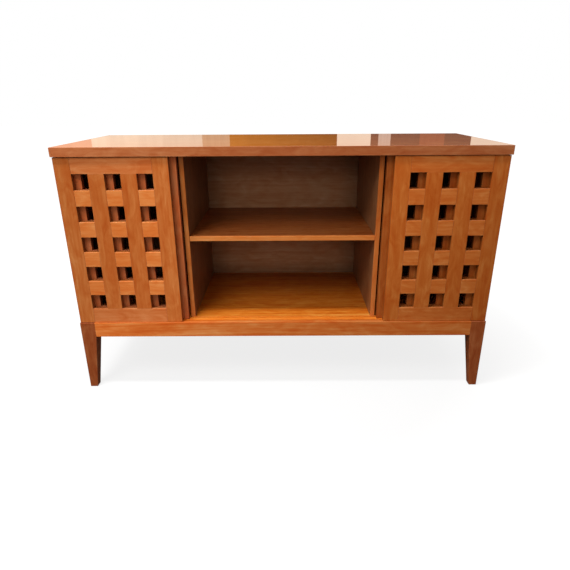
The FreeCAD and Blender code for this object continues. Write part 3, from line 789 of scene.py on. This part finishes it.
def pale_floor():
    """A floor that stays white in view and keeps the shadow that falls on it."""
    material, tree, shader = new_material("pale_floor")
    place = place_on(tree)
    tone = mixed(tree, noise(tree, place, *FLOOR_CLOUD), FLOOR_DARK, FLOOR_LIGHT)
    fill_inputs(tree, shader, {"Base Color": tone, "Roughness": FLOOR_ROUGHNESS, "Specular IOR Level": 0.0})
    distance = add_node(tree, "ShaderNodeVectorMath", {0: place}, operation="LENGTH").outputs["Value"]
    lift = maths(tree, "MULTIPLY", ranged(tree, distance, *FLOOR_LIFT_RANGE), FLOOR_LIFT)
    glow = add_node(tree, "ShaderNodeEmission",
                    {"Color": WHITE, "Strength": maths(tree, "ADD", lift, FLOOR_GLOW)})
    both = add_node(tree, "ShaderNodeAddShader", {0: shader.outputs[0], 1: glow.outputs[0]})
    rays = tree.nodes.new("ShaderNodeLightPath").outputs
    seen = add_node(tree, "ShaderNodeMixShader",
                    {0: rays["Is Camera Ray"], 1: shader.outputs[0], 2: both.outputs[0]})
    show_surface(tree, "Material", seen)
    return material


def glowing_card(name, setting, strength, fade):
    """Slightly uneven glow for a wall card, a painted reflection as bright as the room there."""
    material, tree = new_material(f"{name}_paint")[:2]
    cloud = ranged(tree, noise(tree, place_on(tree), *CARD_CLOUD), *CARD_CLOUD_RANGE)
    across = add_node(tree, "ShaderNodeSeparateXYZ", {"Vector": place_on(tree, "Generated")}).outputs["X"]
    light = maths(tree, "SUBTRACT", strength, maths(tree, "MULTIPLY", across, strength * fade))
    card_glow_colour = scene_colour(setting)
    shaded = (*(part * CARD_SHADE for part in card_glow_colour[:3]), 1.0)
    glow = add_node(tree, "ShaderNodeEmission",
                    {"Color": mixed(tree, cloud, shaded, card_glow_colour), "Strength": light})
    show_surface(tree, "Material", glow)
    return material


def white_room(stage):
    """Surroundings that show white to the camera and in reflections, and light the object softly."""
    world = bpy.data.worlds.new("white_room")
    world.use_nodes = True
    tree = world.node_tree
    soft = tree.nodes["Background"]
    fill_inputs(tree, soft, {"Color": ROOM_TINT, "Strength": stage.ambient})
    white = add_node(tree, "ShaderNodeBackground", {"Color": WHITE, "Strength": 1.0})
    rays = tree.nodes.new("ShaderNodeLightPath").outputs
    seen = maths(tree, "MAXIMUM", rays["Is Camera Ray"], rays["Is Glossy Ray"])
    seen = maths(tree, "MAXIMUM", seen, rays["Is Transmission Ray"])
    both = add_node(tree, "ShaderNodeMixShader", {0: seen, 1: soft.outputs[0], 2: white.outputs[0]})
    show_surface(tree, "World", both)
    return world


# Operators, one for each piece or group of like pieces

class SIDEBOARD_OT_legs(bpy.types.Operator):
    """Models one tapered leg and stands a copy at each corner"""
    bl_idname = "sideboard.legs"
    bl_label = "Legs"

    def execute(self, context):
        shape, finish = settings(context)
        # Painted shade on the legs' faces that look to the sides
        wood = lacquered_wood("tapered_leg_wood", finish.leg, ALONG_Z, painted_shade=0.3)
        leg = self.model_leg(shape)
        turns = {"front_left": 0.0, "front_right": QUARTER, "rear_right": math.pi, "rear_left": -QUARTER}
        for number, (corner, turn) in enumerate(turns.items()):
            low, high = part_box(f"leg_{corner}")
            middle = (low + high) / 2
            twin = copy_piece(leg, (middle.x, middle.y, 0.0), Matrix.Rotation(turn, 4, "Z"))
            finish_board(twin, wood, PLANKS["legs"] + number)
            fit_piece(f"tapered_leg_{corner}", [twin], "leg_wood", f"leg_{corner}")
        remove_piece(leg)
        return {"FINISHED"}

    def model_leg(self, shape):
        """A post over the origin that tapers on two sides below the aprons."""
        low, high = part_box("leg_front_left")
        half = Vector((high.x - low.x, high.y - low.y, 0.0)) / 2
        leg = add_block(Vector((-half.x, -half.y, low.z)), Vector((half.x, half.y, high.z)))
        score_lines(leg, Z, [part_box("apron_front")[0].z])
        edit_faces(leg, DOWN)
        share = shape.leg_foot_width / (high.x - low.x)
        bpy.ops.transform.resize(value=(share, share, 1.0), center_override=(-half.x, -half.y, low.z))
        bpy.ops.object.mode_set(mode="OBJECT")
        ease_edges(leg, shape.leg_ease)
        return leg


class SIDEBOARD_OT_aprons(bpy.types.Operator):
    """Fits the four aprons between the legs"""
    bl_idname = "sideboard.aprons"
    bl_label = "Aprons"

    def execute(self, context):
        shape, finish = settings(context)
        # Painted shade on the long aprons' faces that look up, down and to the sides
        long_wood = lacquered_wood("long_apron_wood", finish.apron, ALONG_X, streak=0.8, painted_shade=0.3)
        short_wood = lacquered_wood("short_apron_wood", finish.apron, ALONG_Y, streak=0.8)
        for number, edge in enumerate(EDGES):
            axis, wood, legs = X, long_wood, [f"leg_{edge}_{side}" for side in SIDES]
            if edge in SIDES:
                axis, wood, legs = Y, short_wood, [f"leg_{end}_{edge}" for end in ENDS]
            low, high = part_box(f"apron_{edge}")
            low[axis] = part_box(legs[0])[1][axis]
            high[axis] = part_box(legs[1])[0][axis]
            board = add_board(low, high, shape.board_ease, wood, PLANKS["aprons"] + number)
            if edge == "front":
                # Painted light: the front apron lighter at the left and darker at the right
                paint_light_fall(board, low, high, APRON_PAINTED_LIGHT)
            fit_piece(f"base_apron_{edge}", [board], "apron_wood", f"apron_{edge}")
        return {"FINISHED"}


class SIDEBOARD_OT_underframe(bpy.types.Operator):
    """Gives the ledgers, bearers and dowels their plain wood"""
    bl_idname = "sideboard.underframe"
    bl_label = "Underframe"

    def execute(self, context):
        finish = context.scene.sideboard_finish
        long_wood = plain_wood("long", finish, ALONG_X)
        short_wood = plain_wood("short", finish, ALONG_Y)
        dowel_wood = plain_wood("dowel", finish, ALONG_Z)
        for end in ENDS:
            dress_node(f"ledger_{end}", long_wood)
        for side in SIDES:
            dress_node(f"ledger_{side}", short_wood)
            dress_node(f"bearer_{side}", short_wood)
        dress_node("lower_dowels", dowel_wood)
        dress_node("upper_dowels", dowel_wood)
        return {"FINISHED"}


class SIDEBOARD_OT_bottom(bpy.types.Operator):
    """Lays the bottom panel and the grooved track strip in front of it"""
    bl_idname = "sideboard.bottom"
    bl_label = "Bottom and Track"

    def execute(self, context):
        shape, finish = settings(context)
        ease = shape.board_ease * BOTTOM_EASE_SHARE
        wood = lacquered_wood("bottom_wood", finish.bottom, ALONG_X, gloss=0.3, streak=0.7)
        track_wood = lacquered_wood("track_wood", finish.track, ALONG_X, gloss=0.3)
        low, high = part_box("bottom_panel")
        low.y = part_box("bottom_track")[1].y
        panel = add_block(low, high)
        for side in SIDES:
            post_low, post_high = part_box(f"leg_rear_{side}")
            cut_away(panel, Vector((post_low.x, post_low.y, low.z - OVERRUN)), post_high)
        ease_edges(panel, ease)
        finish_board(panel, wood, PLANKS["bottom"])
        # An empty painted-light mark, which then holds the painted corner shade
        paint_light_fall(panel, low, high, NO_PAINTED_LIGHT)
        # Painted shade on the bottom along the back panel, where the bay's back corner lies in shadow
        paint_corner_shade(panel, Y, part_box("back_panel")[0].y, FLOOR_CORNER)
        fit_piece("case_bottom", [panel], "case_wood", "bottom_panel")
        low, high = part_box("bottom_track")
        track = add_block(low, high)
        cut_grooves(track, "runner", high.z - shape.groove_depth, high.z + OVERRUN, shape.groove_clear)
        ease_edges(track, ease)
        finish_board(track, track_wood, PLANKS["track"])
        fit_piece("case_track", [track], "case_wood", "bottom_track")
        return {"FINISHED"}


class SIDEBOARD_OT_uprights(bpy.types.Operator):
    """Stands the side panels and the dividers, with a solid strip on each front edge"""
    bl_idname = "sideboard.uprights"
    bl_label = "Sides and Dividers"

    def execute(self, context):
        shape, finish = settings(context)
        side_wood = lacquered_wood("side_panel_wood", finish.case, ALONG_Z)
        # Painted shade: the dividers take a darker copy of the sides' wood
        divider_wood = lacquered_wood("divider_wood", finish.divider, ALONG_Z)
        strip_wood = lacquered_wood("upright_strip_wood", finish.upright_edge, ALONG_Z)
        back_low, back_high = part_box("back_panel")
        for number, node in enumerate(UPRIGHT_PANELS):
            low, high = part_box(node)
            wood, rebate = divider_wood, None
            if node.startswith("side"):
                wood = side_wood
                rebate = (Vector((back_low.x, back_low.y, low.z - OVERRUN)),
                          Vector((back_high.x, high.y + OVERRUN, high.z + OVERRUN)))
            numbers = (PLANKS["uprights"] + number, PLANKS["upright_strips"] + number)
            boards = add_edged_board(low, high, shape, (wood, strip_wood), numbers, rebate)
            fit_piece(f"case_{node}", boards, "case_wood", node)
        return {"FINISHED"}


class SIDEBOARD_OT_back(bpy.types.Operator):
    """Sets the veneered back panel in its rebates"""
    bl_idname = "sideboard.back"
    bl_label = "Back"

    def execute(self, context):
        shape, finish = settings(context)
        wood = lacquered_wood("back_veneer", finish.back, ALONG_X, gloss=0.5, streak=0.45)
        low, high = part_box("back_panel")
        panel = add_board(low, high, shape.board_ease, wood, PLANKS["back"])
        # Painted light: the back lighter at its left and towards its head
        paint_light_fall(panel, low, high, BACK_PAINTED_LIGHT)
        middle = (low.y + high.y) / 2
        # Painted shade on the back panel towards the bay's four corners
        paint_corner_shade(panel, X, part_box("divider_left")[1].x, -SIDE_CORNER, middle)
        paint_corner_shade(panel, X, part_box("divider_right")[0].x, SIDE_CORNER, middle)
        paint_corner_shade(panel, Z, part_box("bottom_panel")[1].z, -FOOT_CORNER, middle)
        paint_corner_shade(panel, Z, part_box("top_panel")[0].z, HEAD_CORNER, middle)
        fit_piece("case_back", [panel], "back_wood", "back_panel")
        return {"FINISHED"}


class SIDEBOARD_OT_shelves(bpy.types.Operator):
    """Lays the three shelves, each with a solid strip on its front edge"""
    bl_idname = "sideboard.shelves"
    bl_label = "Shelves"

    def execute(self, context):
        shape, finish = settings(context)
        woods = (lacquered_wood("shelf_wood", finish.shelf, ALONG_X, gloss=0.3, streak=0.5),
                 lacquered_wood("level_strip_wood", finish.strip, ALONG_X))
        for number, place in enumerate(("left", "middle", "right")):
            node = f"shelf_{place}"
            numbers = (PLANKS["shelves"] + number, PLANKS["shelf_strips"] + number)
            boards = add_edged_board(*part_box(node), shape, woods, numbers)
            fit_piece(f"case_{node}", boards, "case_wood", node)
        return {"FINISHED"}


class SIDEBOARD_OT_top(bpy.types.Operator):
    """Makes the polished top with its two lower grooves, and the lippings round it"""
    bl_idname = "sideboard.top"
    bl_label = "Top"

    def execute(self, context):
        shape, finish = settings(context)
        low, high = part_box("top_panel")
        panel = add_block(low, high)
        cut_grooves(panel, "guide", low.z - OVERRUN, low.z + shape.groove_depth, shape.groove_clear)
        ease_edges(panel, shape.top_ease * TOP_EASE_SHARE)
        finish_board(panel, polished_top_wood(finish), PLANKS["top"])
        fit_piece("polished_top", [panel], "top_lacquered_wood", "top_panel")
        long_wood = lacquered_wood("long_lipping_wood", finish.lipping, ALONG_X, gloss=0.3, coat=0.5)
        short_wood = lacquered_wood("short_lipping_wood", finish.lipping, ALONG_Y, gloss=0.3, coat=0.5)
        for number, edge in enumerate(EDGES):
            node = f"top_lipping_{edge}"
            wood = long_wood if edge in ENDS else short_wood
            strip = add_board(*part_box(node), shape.top_ease, wood, PLANKS["lippings"] + number)
            fit_piece(f"solid_lipping_{edge}", [strip], "lipping_wood", node)
        return {"FINISHED"}


class SIDEBOARD_OT_doors(bpy.types.Operator):
    """Models the bars of one lattice door and copies them into all four doors"""
    bl_idname = "sideboard.doors"
    bl_label = "Lattice Doors"

    def execute(self, context):
        shape, finish = settings(context)
        bars = self.model_bars(shape)
        for track in ENDS:
            for side in SIDES:
                door = f"{track}_{side}_door"
                woods = self.door_woods(door, finish)
                self.build_bars(door, bars, woods, shape)
                self.build_rails(door, woods, shape)
        for bar in bars.values():
            remove_piece(bar)
        return {"FINISHED"}

    def door_woods(self, door, finish):
        """The woods of one door's bars and of its strips."""
        upright, rail, cross = finish.upright, finish.rail, finish.cross
        # Painted light: the front right door and the two rear doors take lighter and darker copies of one
        # wood
        if door == "front_right_door":
            upright, rail, cross = finish.right_upright, finish.right_rail, finish.right_cross
        if door.startswith("rear"):
            upright = rail = cross = finish.rear_left if "left" in door else finish.rear_right
        # Painted shade in the holes, on the bars' sides, sills and heads
        recess = {"wear": 0.5, "painted_shade": 0.7}
        return {"upright": lacquered_wood(f"{door}_upright_wood", upright, ALONG_Z, **recess),
                "rail": lacquered_wood(f"{door}_rail_wood", rail, ALONG_X, **recess),
                "cross": lacquered_wood(f"{door}_crossbar_wood", cross, ALONG_X, **recess),
                "strip": plain_wood("long", finish, ALONG_X)}

    def measure(self, door, shape):
        """A door's corners, and the width that its bars and holes share."""
        low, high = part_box(f"{door}_stiles")
        return low, high, (high.x - low.x) / (2 * shape.hole_columns + 1)

    def first_plank(self, door):
        """A plank number of the door's own, from the letters of its name."""
        return sum(map(ord, door))

    def model_bars(self, shape):
        """One stile, mullion and crossbar, each with its lowest corner at the origin."""
        low, high, unit = self.measure("front_left_door", shape)
        size = high - low
        bars = {}
        for kind, length in {"stile": size.z, "mullion": size.z - 2 * unit, "crossbar": unit}.items():
            bars[kind] = add_block(Vector(), Vector((unit, size.y, length)))
        ease_edges(bars["stile"], shape.bar_ease, BAR_STEPS)
        ease_edges(bars["mullion"], shape.bar_ease, BAR_STEPS, lambda way, middle: abs(way.z) > unit)
        ease_edges(bars["crossbar"], shape.hole_ease, wanted=lambda way, middle: abs(way.x) > unit / 2)
        return bars

    def build_bars(self, door, bars, woods, shape):
        """Lays out one door's stiles, mullions and crossbars."""
        low, high, unit = self.measure(door, shape)
        start = self.first_plank(door)
        columns = [low.x + 2 * step * unit for step in range(shape.hole_columns + 1)]
        rows = [low.z + 2 * step * unit for step in range(shape.hole_rows + 1)]
        layout = {"stile": [(columns[0], low.z), (columns[-1], low.z)],
                  "mullion": [(column, low.z + unit) for column in columns[1:-1]],
                  "crossbar": [(column + unit, row) for row in rows[1:-1] for column in columns[:-1]]}
        for kind, places in layout.items():
            wood, slot = BAR_LOOKS[kind]
            copies = []
            for number, (x, z) in enumerate(places):
                twin = copy_piece(bars[kind], (x, low.y, z))
                copies.append(finish_board(twin, woods[wood], start + number + len(kind)))
            # Painted light across each door's bars, set per door
            bar_set = paint_light_fall(join_pieces(f"{door}_{kind}_set", copies), low, high, DOOR_PAINTED_LIGHT[door])
            hand_over(bar_set, door, slot, f"{door}_{kind}s")

    def build_rails(self, door, woods, shape):
        """Makes a door's two rails with the seats of the running strips, and the strips."""
        low, high, unit = self.measure(door, shape)
        start = self.first_plank(door)
        rails = []
        for number, (strip, foot) in enumerate((("runner", low.z), ("guide", high.z - unit))):
            rail = add_block(Vector((low.x + unit, low.y, foot)),
                             Vector((high.x - unit, high.y, foot + unit)))
            strip_low, strip_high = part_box(f"{door}_{strip}")
            cut_away(rail, strip_low, strip_high + Vector((0.0, OVERRUN, 0.0)))
            sill = foot + unit if strip == "runner" else foot
            score_lines(rail, X, [low.x + step * unit for step in range(2, 2 * shape.hole_columns)])
            ease_edges(rail, shape.hole_ease, wanted=lambda way, middle: abs(middle.z - sill) < NEAR
                       and abs(way.x) > unit / 2 and int((middle.x - low.x) / unit) % 2 == 1)
            rails.append(finish_board(rail, woods["rail"], start + PLANKS["rails"] + number))
            bead = add_board(strip_low, strip_high, shape.bar_ease, woods["strip"], start + number)
            hand_over(join_pieces(f"{door}_{strip}_strip", [bead]), door, "plain_hardwood",
                      f"{door}_{strip}")
        # Painted light across each door's rails, set per door
        rail_set = paint_light_fall(join_pieces(f"{door}_rail_set", rails), low, high, DOOR_PAINTED_LIGHT[door])
        hand_over(rail_set, door, "door_cross_wood", f"{door}_rails")


class SIDEBOARD_OT_screws(bpy.types.Operator):
    """Turns one cross-head screw and drives a copy at each screw's place"""
    bl_idname = "sideboard.screws"
    bl_label = "Screws"

    def execute(self, context):
        shape, finish = settings(context)
        steel = small_metal("plated_steel", finish.steel, gloss=0.25)
        facing = {"back_screws": (Y, Matrix.Rotation(-QUARTER, 4, "X")),
                  "ledger_screws": (Z, Matrix.Rotation(math.pi, 4, "X"))}
        for node, (axis, tilt) in facing.items():
            solids = solids_of(node)
            low, high = solids[0]
            screw = self.model_screw(high.x - low.x, high[axis] - low[axis], shape.screw_slot)
            places = []
            for number, (low, high) in enumerate(solids):
                place = (low + high) / 2
                place[axis] = high[axis] if axis == Y else low[axis]
                places.append((place, tilt @ Matrix.Rotation(number * GOLDEN * math.pi, 4, "Z")))
            fit_copies(f"steel_{node}", screw, places, steel, "screw_steel", node)
        return {"FINISHED"}

    def model_screw(self, head, length, slot):
        """A screw along Z with the top of its head at the origin."""
        head_depth = head * HEAD_DEPTH_SHARE
        point = head * POINT_SHARE
        screw = add_rod(head / 2, -head_depth, 0.0, ROUND_SIDES)
        edit_faces(screw, DOWN)
        bpy.ops.mesh.inset(thickness=head * SHANK_INSET_SHARE)
        draw_out(head_depth + point - length)
        draw_out(-point)
        bpy.ops.transform.resize(value=(POINT_WIDTH_SHARE, POINT_WIDTH_SHARE, 1.0))
        bpy.ops.object.mode_set(mode="OBJECT")
        round_rim(screw, UP, head * HEAD_RIM_SHARE, BAR_STEPS)
        arm = head * CROSS_REACH_SHARE
        depth = Vector((0.0, 0.0, head_depth * CROSS_DEPTH_SHARE))
        for reach in (Vector((arm, slot / 2, 0.0)), Vector((slot / 2, arm, 0.0))):
            cut_away(screw, -reach - depth, reach + Vector((0.0, 0.0, OVERRUN)))
        return smooth_rounds(screw)


class SIDEBOARD_OT_pins(bpy.types.Operator):
    """Turns one shouldered brass pin and puts a copy under each shelf end"""
    bl_idname = "sideboard.pins"
    bl_label = "Shelf Pins"

    def execute(self, context):
        brass = small_metal("turned_brass", context.scene.sideboard_finish.brass, gloss=0.2)
        panels = [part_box(node) for node in UPRIGHT_PANELS]
        solids = solids_of("shelf_pins")
        low, high = solids[0]
        seat = panels[0][1].x
        depth = seat - low.x
        pin = self.model_pin(high.z - low.z, high.x - seat, depth)
        places = []
        for low, high in solids:
            into_left = any(panel_low.x < low.x < panel_high.x for panel_low, panel_high in panels)
            face = low.x + depth if into_left else high.x - depth
            turn = QUARTER if into_left else -QUARTER
            middle = (low + high) / 2
            places.append(((face, middle.y, middle.z), Matrix.Rotation(turn, 4, "Y")))
        fit_copies("brass_shelf_pins", pin, places, brass, "pin_brass", "shelf_pins")
        return {"FINISHED"}

    def model_pin(self, width, reach, depth):
        """A pin along Z: its shoulder above the origin, its stem below."""
        pin = add_rod(width / 2, 0.0, reach, ROUND_SIDES)
        round_rim(pin, UP, width * PIN_NOSE_SHARE, EASE_STEPS)
        edit_faces(pin, DOWN)
        bpy.ops.mesh.inset(thickness=width * PIN_SHOULDER_SHARE)
        draw_out(-depth)
        bpy.ops.mesh.bevel(offset=width * PIN_TIP_SHARE, segments=BAR_STEPS, affect="EDGES")
        bpy.ops.object.mode_set(mode="OBJECT")
        return smooth_rounds(pin)


class SIDEBOARD_OT_glides(bpy.types.Operator):
    """Turns one nailed glide and puts a copy under each leg"""
    bl_idname = "sideboard.glides"
    bl_label = "Foot Glides"

    def execute(self, context):
        nylon = moulded_nylon(context.scene.sideboard_finish)
        solids = solids_of("foot_glides")
        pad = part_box("leg_front_left")[0].z
        low, high = solids[0]
        glide = self.model_glide((high.x - low.x) / 2, pad, high.z - pad)
        middles = [(low + high) / 2 for low, high in solids]
        places = [((middle.x, middle.y, 0.0), None) for middle in middles]
        fit_copies("nylon_foot_glides", glide, places, nylon, "glide_plastic", "foot_glides")
        return {"FINISHED"}

    def model_glide(self, radius, pad, stem):
        """A round pad on the floor with a rounded rim and a nail stem above it."""
        glide = add_rod(radius, 0.0, pad, GLIDE_SIDES)
        round_rim(glide, DOWN, pad * GLIDE_RIM_SHARE, EASE_STEPS)
        edit_faces(glide, UP)
        bpy.ops.mesh.inset(thickness=radius * GLIDE_SHOULDER_SHARE)
        draw_out(stem)
        bpy.ops.object.mode_set(mode="OBJECT")
        return smooth_rounds(glide)


class SIDEBOARD_OT_stage(bpy.types.Operator):
    """Lays the floor, hangs the lamps, stands the wall cards and sets up the camera"""
    bl_idname = "sideboard.stage"
    bl_label = "Stage"

    def execute(self, context):
        stage = context.scene.sideboard_stage
        bpy.ops.object.select_all(action="DESELECT")
        bpy.ops.mesh.primitive_plane_add(size=stage.floor_size)
        floor = bpy.context.object
        floor.name = "floor"
        floor.data.materials.append(pale_floor())
        context.scene.world = white_room(stage)
        for name, place, target, width, height in LAMPS:
            self.hang_lamp(f"{name}_lamp", place, target, width, height, getattr(stage, f"{name}_power"))
        for number, (name, left, right, setting, strength, fade) in enumerate(WALL_CARDS):
            self.stand_card(name, left, right, glowing_card(name, setting, strength, fade), number)
        self.place_camera(stage)
        context.scene.view_settings.view_transform = "Standard"
        return {"FINISHED"}

    def hang_lamp(self, name, place, target, width, height, power):
        """Hangs a rectangular lamp that faces a point and stays out of the polish."""
        aim = (Vector(target) - Vector(place)).to_track_quat("-Z", "Y").to_euler()
        bpy.ops.object.light_add(type="AREA", location=place, rotation=aim)
        lamp = bpy.context.object
        lamp.name = name
        lamp.data.shape = "RECTANGLE"
        lamp.data.size = width
        lamp.data.size_y = height
        lamp.data.energy = power
        lamp.visible_glossy = False

    def stand_card(self, name, left, right, card_glow_colour, number):
        """Stands a glowing wall card behind the object, a painted reflection which only reflections show.
        """
        bpy.ops.object.select_all(action="DESELECT")
        place = ((left + right) / 2, CARD_PLACE - number * CARD_STEP, CARD_HEIGHT / 2)
        bpy.ops.mesh.primitive_plane_add(size=1, location=place, rotation=(QUARTER, 0.0, 0.0))
        card = bpy.context.object
        card.name = name
        card.scale = (right - left, CARD_HEIGHT, 1.0)
        card.data.materials.append(card_glow_colour)
        card.visible_camera = False
        card.visible_diffuse = False
        card.visible_shadow = False

    def place_camera(self, stage):
        """Stands the camera where the photograph was taken."""
        turn = (Matrix.Rotation(-stage.yaw, 3, "Z") @ Matrix.Rotation(QUARTER - stage.pitch, 3, "X")
                @ Matrix.Rotation(-stage.roll, 3, "Z"))
        bpy.ops.object.camera_add(location=stage.camera_place, rotation=turn.to_euler())
        camera = bpy.context.object
        camera.name = "photo_camera"
        camera.data.sensor_width = SENSOR_WIDTH
        camera.data.lens = stage.lens
        bpy.context.scene.camera = camera


OPERATORS = (SIDEBOARD_OT_legs, SIDEBOARD_OT_aprons, SIDEBOARD_OT_underframe, SIDEBOARD_OT_bottom,
             SIDEBOARD_OT_uprights, SIDEBOARD_OT_back, SIDEBOARD_OT_shelves, SIDEBOARD_OT_top,
             SIDEBOARD_OT_doors, SIDEBOARD_OT_screws, SIDEBOARD_OT_pins, SIDEBOARD_OT_glides,
             SIDEBOARD_OT_stage)
SETTINGS = {"sideboard_shape": SideboardShape, "sideboard_finish": SideboardFinish,
            "sideboard_stage": SideboardStage}


class SIDEBOARD_PT_panel(bpy.types.Panel):
    """Lists the sideboard's pieces and settings"""
    bl_idname = "SIDEBOARD_PT_panel"
    bl_label = "Lattice Door Sideboard"
    bl_space_type = "VIEW_3D"
    bl_region_type = "UI"
    bl_category = "Sideboard"

    def draw(self, context):
        for operator in OPERATORS:
            self.layout.operator(operator.bl_idname)
        for name, group in SETTINGS.items():
            box = self.layout.box()
            for setting in group.__annotations__:
                box.prop(getattr(context.scene, name), setting)


def register():
    for group in SETTINGS.values():
        bpy.utils.register_class(group)
    for operator in OPERATORS:
        bpy.utils.register_class(operator)
    bpy.utils.register_class(SIDEBOARD_PT_panel)
    for name, group in SETTINGS.items():
        setattr(bpy.types.Scene, name, bpy.props.PointerProperty(type=group))


def unregister():
    for name in SETTINGS:
        delattr(bpy.types.Scene, name)
    bpy.utils.unregister_class(SIDEBOARD_PT_panel)
    for operator in reversed(OPERATORS):
        bpy.utils.unregister_class(operator)
    for group in reversed(SETTINGS.values()):
        bpy.utils.unregister_class(group)


def main():
    """Registers the add-on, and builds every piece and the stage."""
    register()
    bpy.ops.sideboard.legs()
    bpy.ops.sideboard.aprons()
    bpy.ops.sideboard.underframe()
    bpy.ops.sideboard.bottom()
    bpy.ops.sideboard.uprights()
    bpy.ops.sideboard.back()
    bpy.ops.sideboard.shelves()
    bpy.ops.sideboard.top()
    bpy.ops.sideboard.doors()
    bpy.ops.sideboard.screws()
    bpy.ops.sideboard.pins()
    bpy.ops.sideboard.glides()
    bpy.ops.sideboard.stage()


if __name__ == "__main__":
    main()
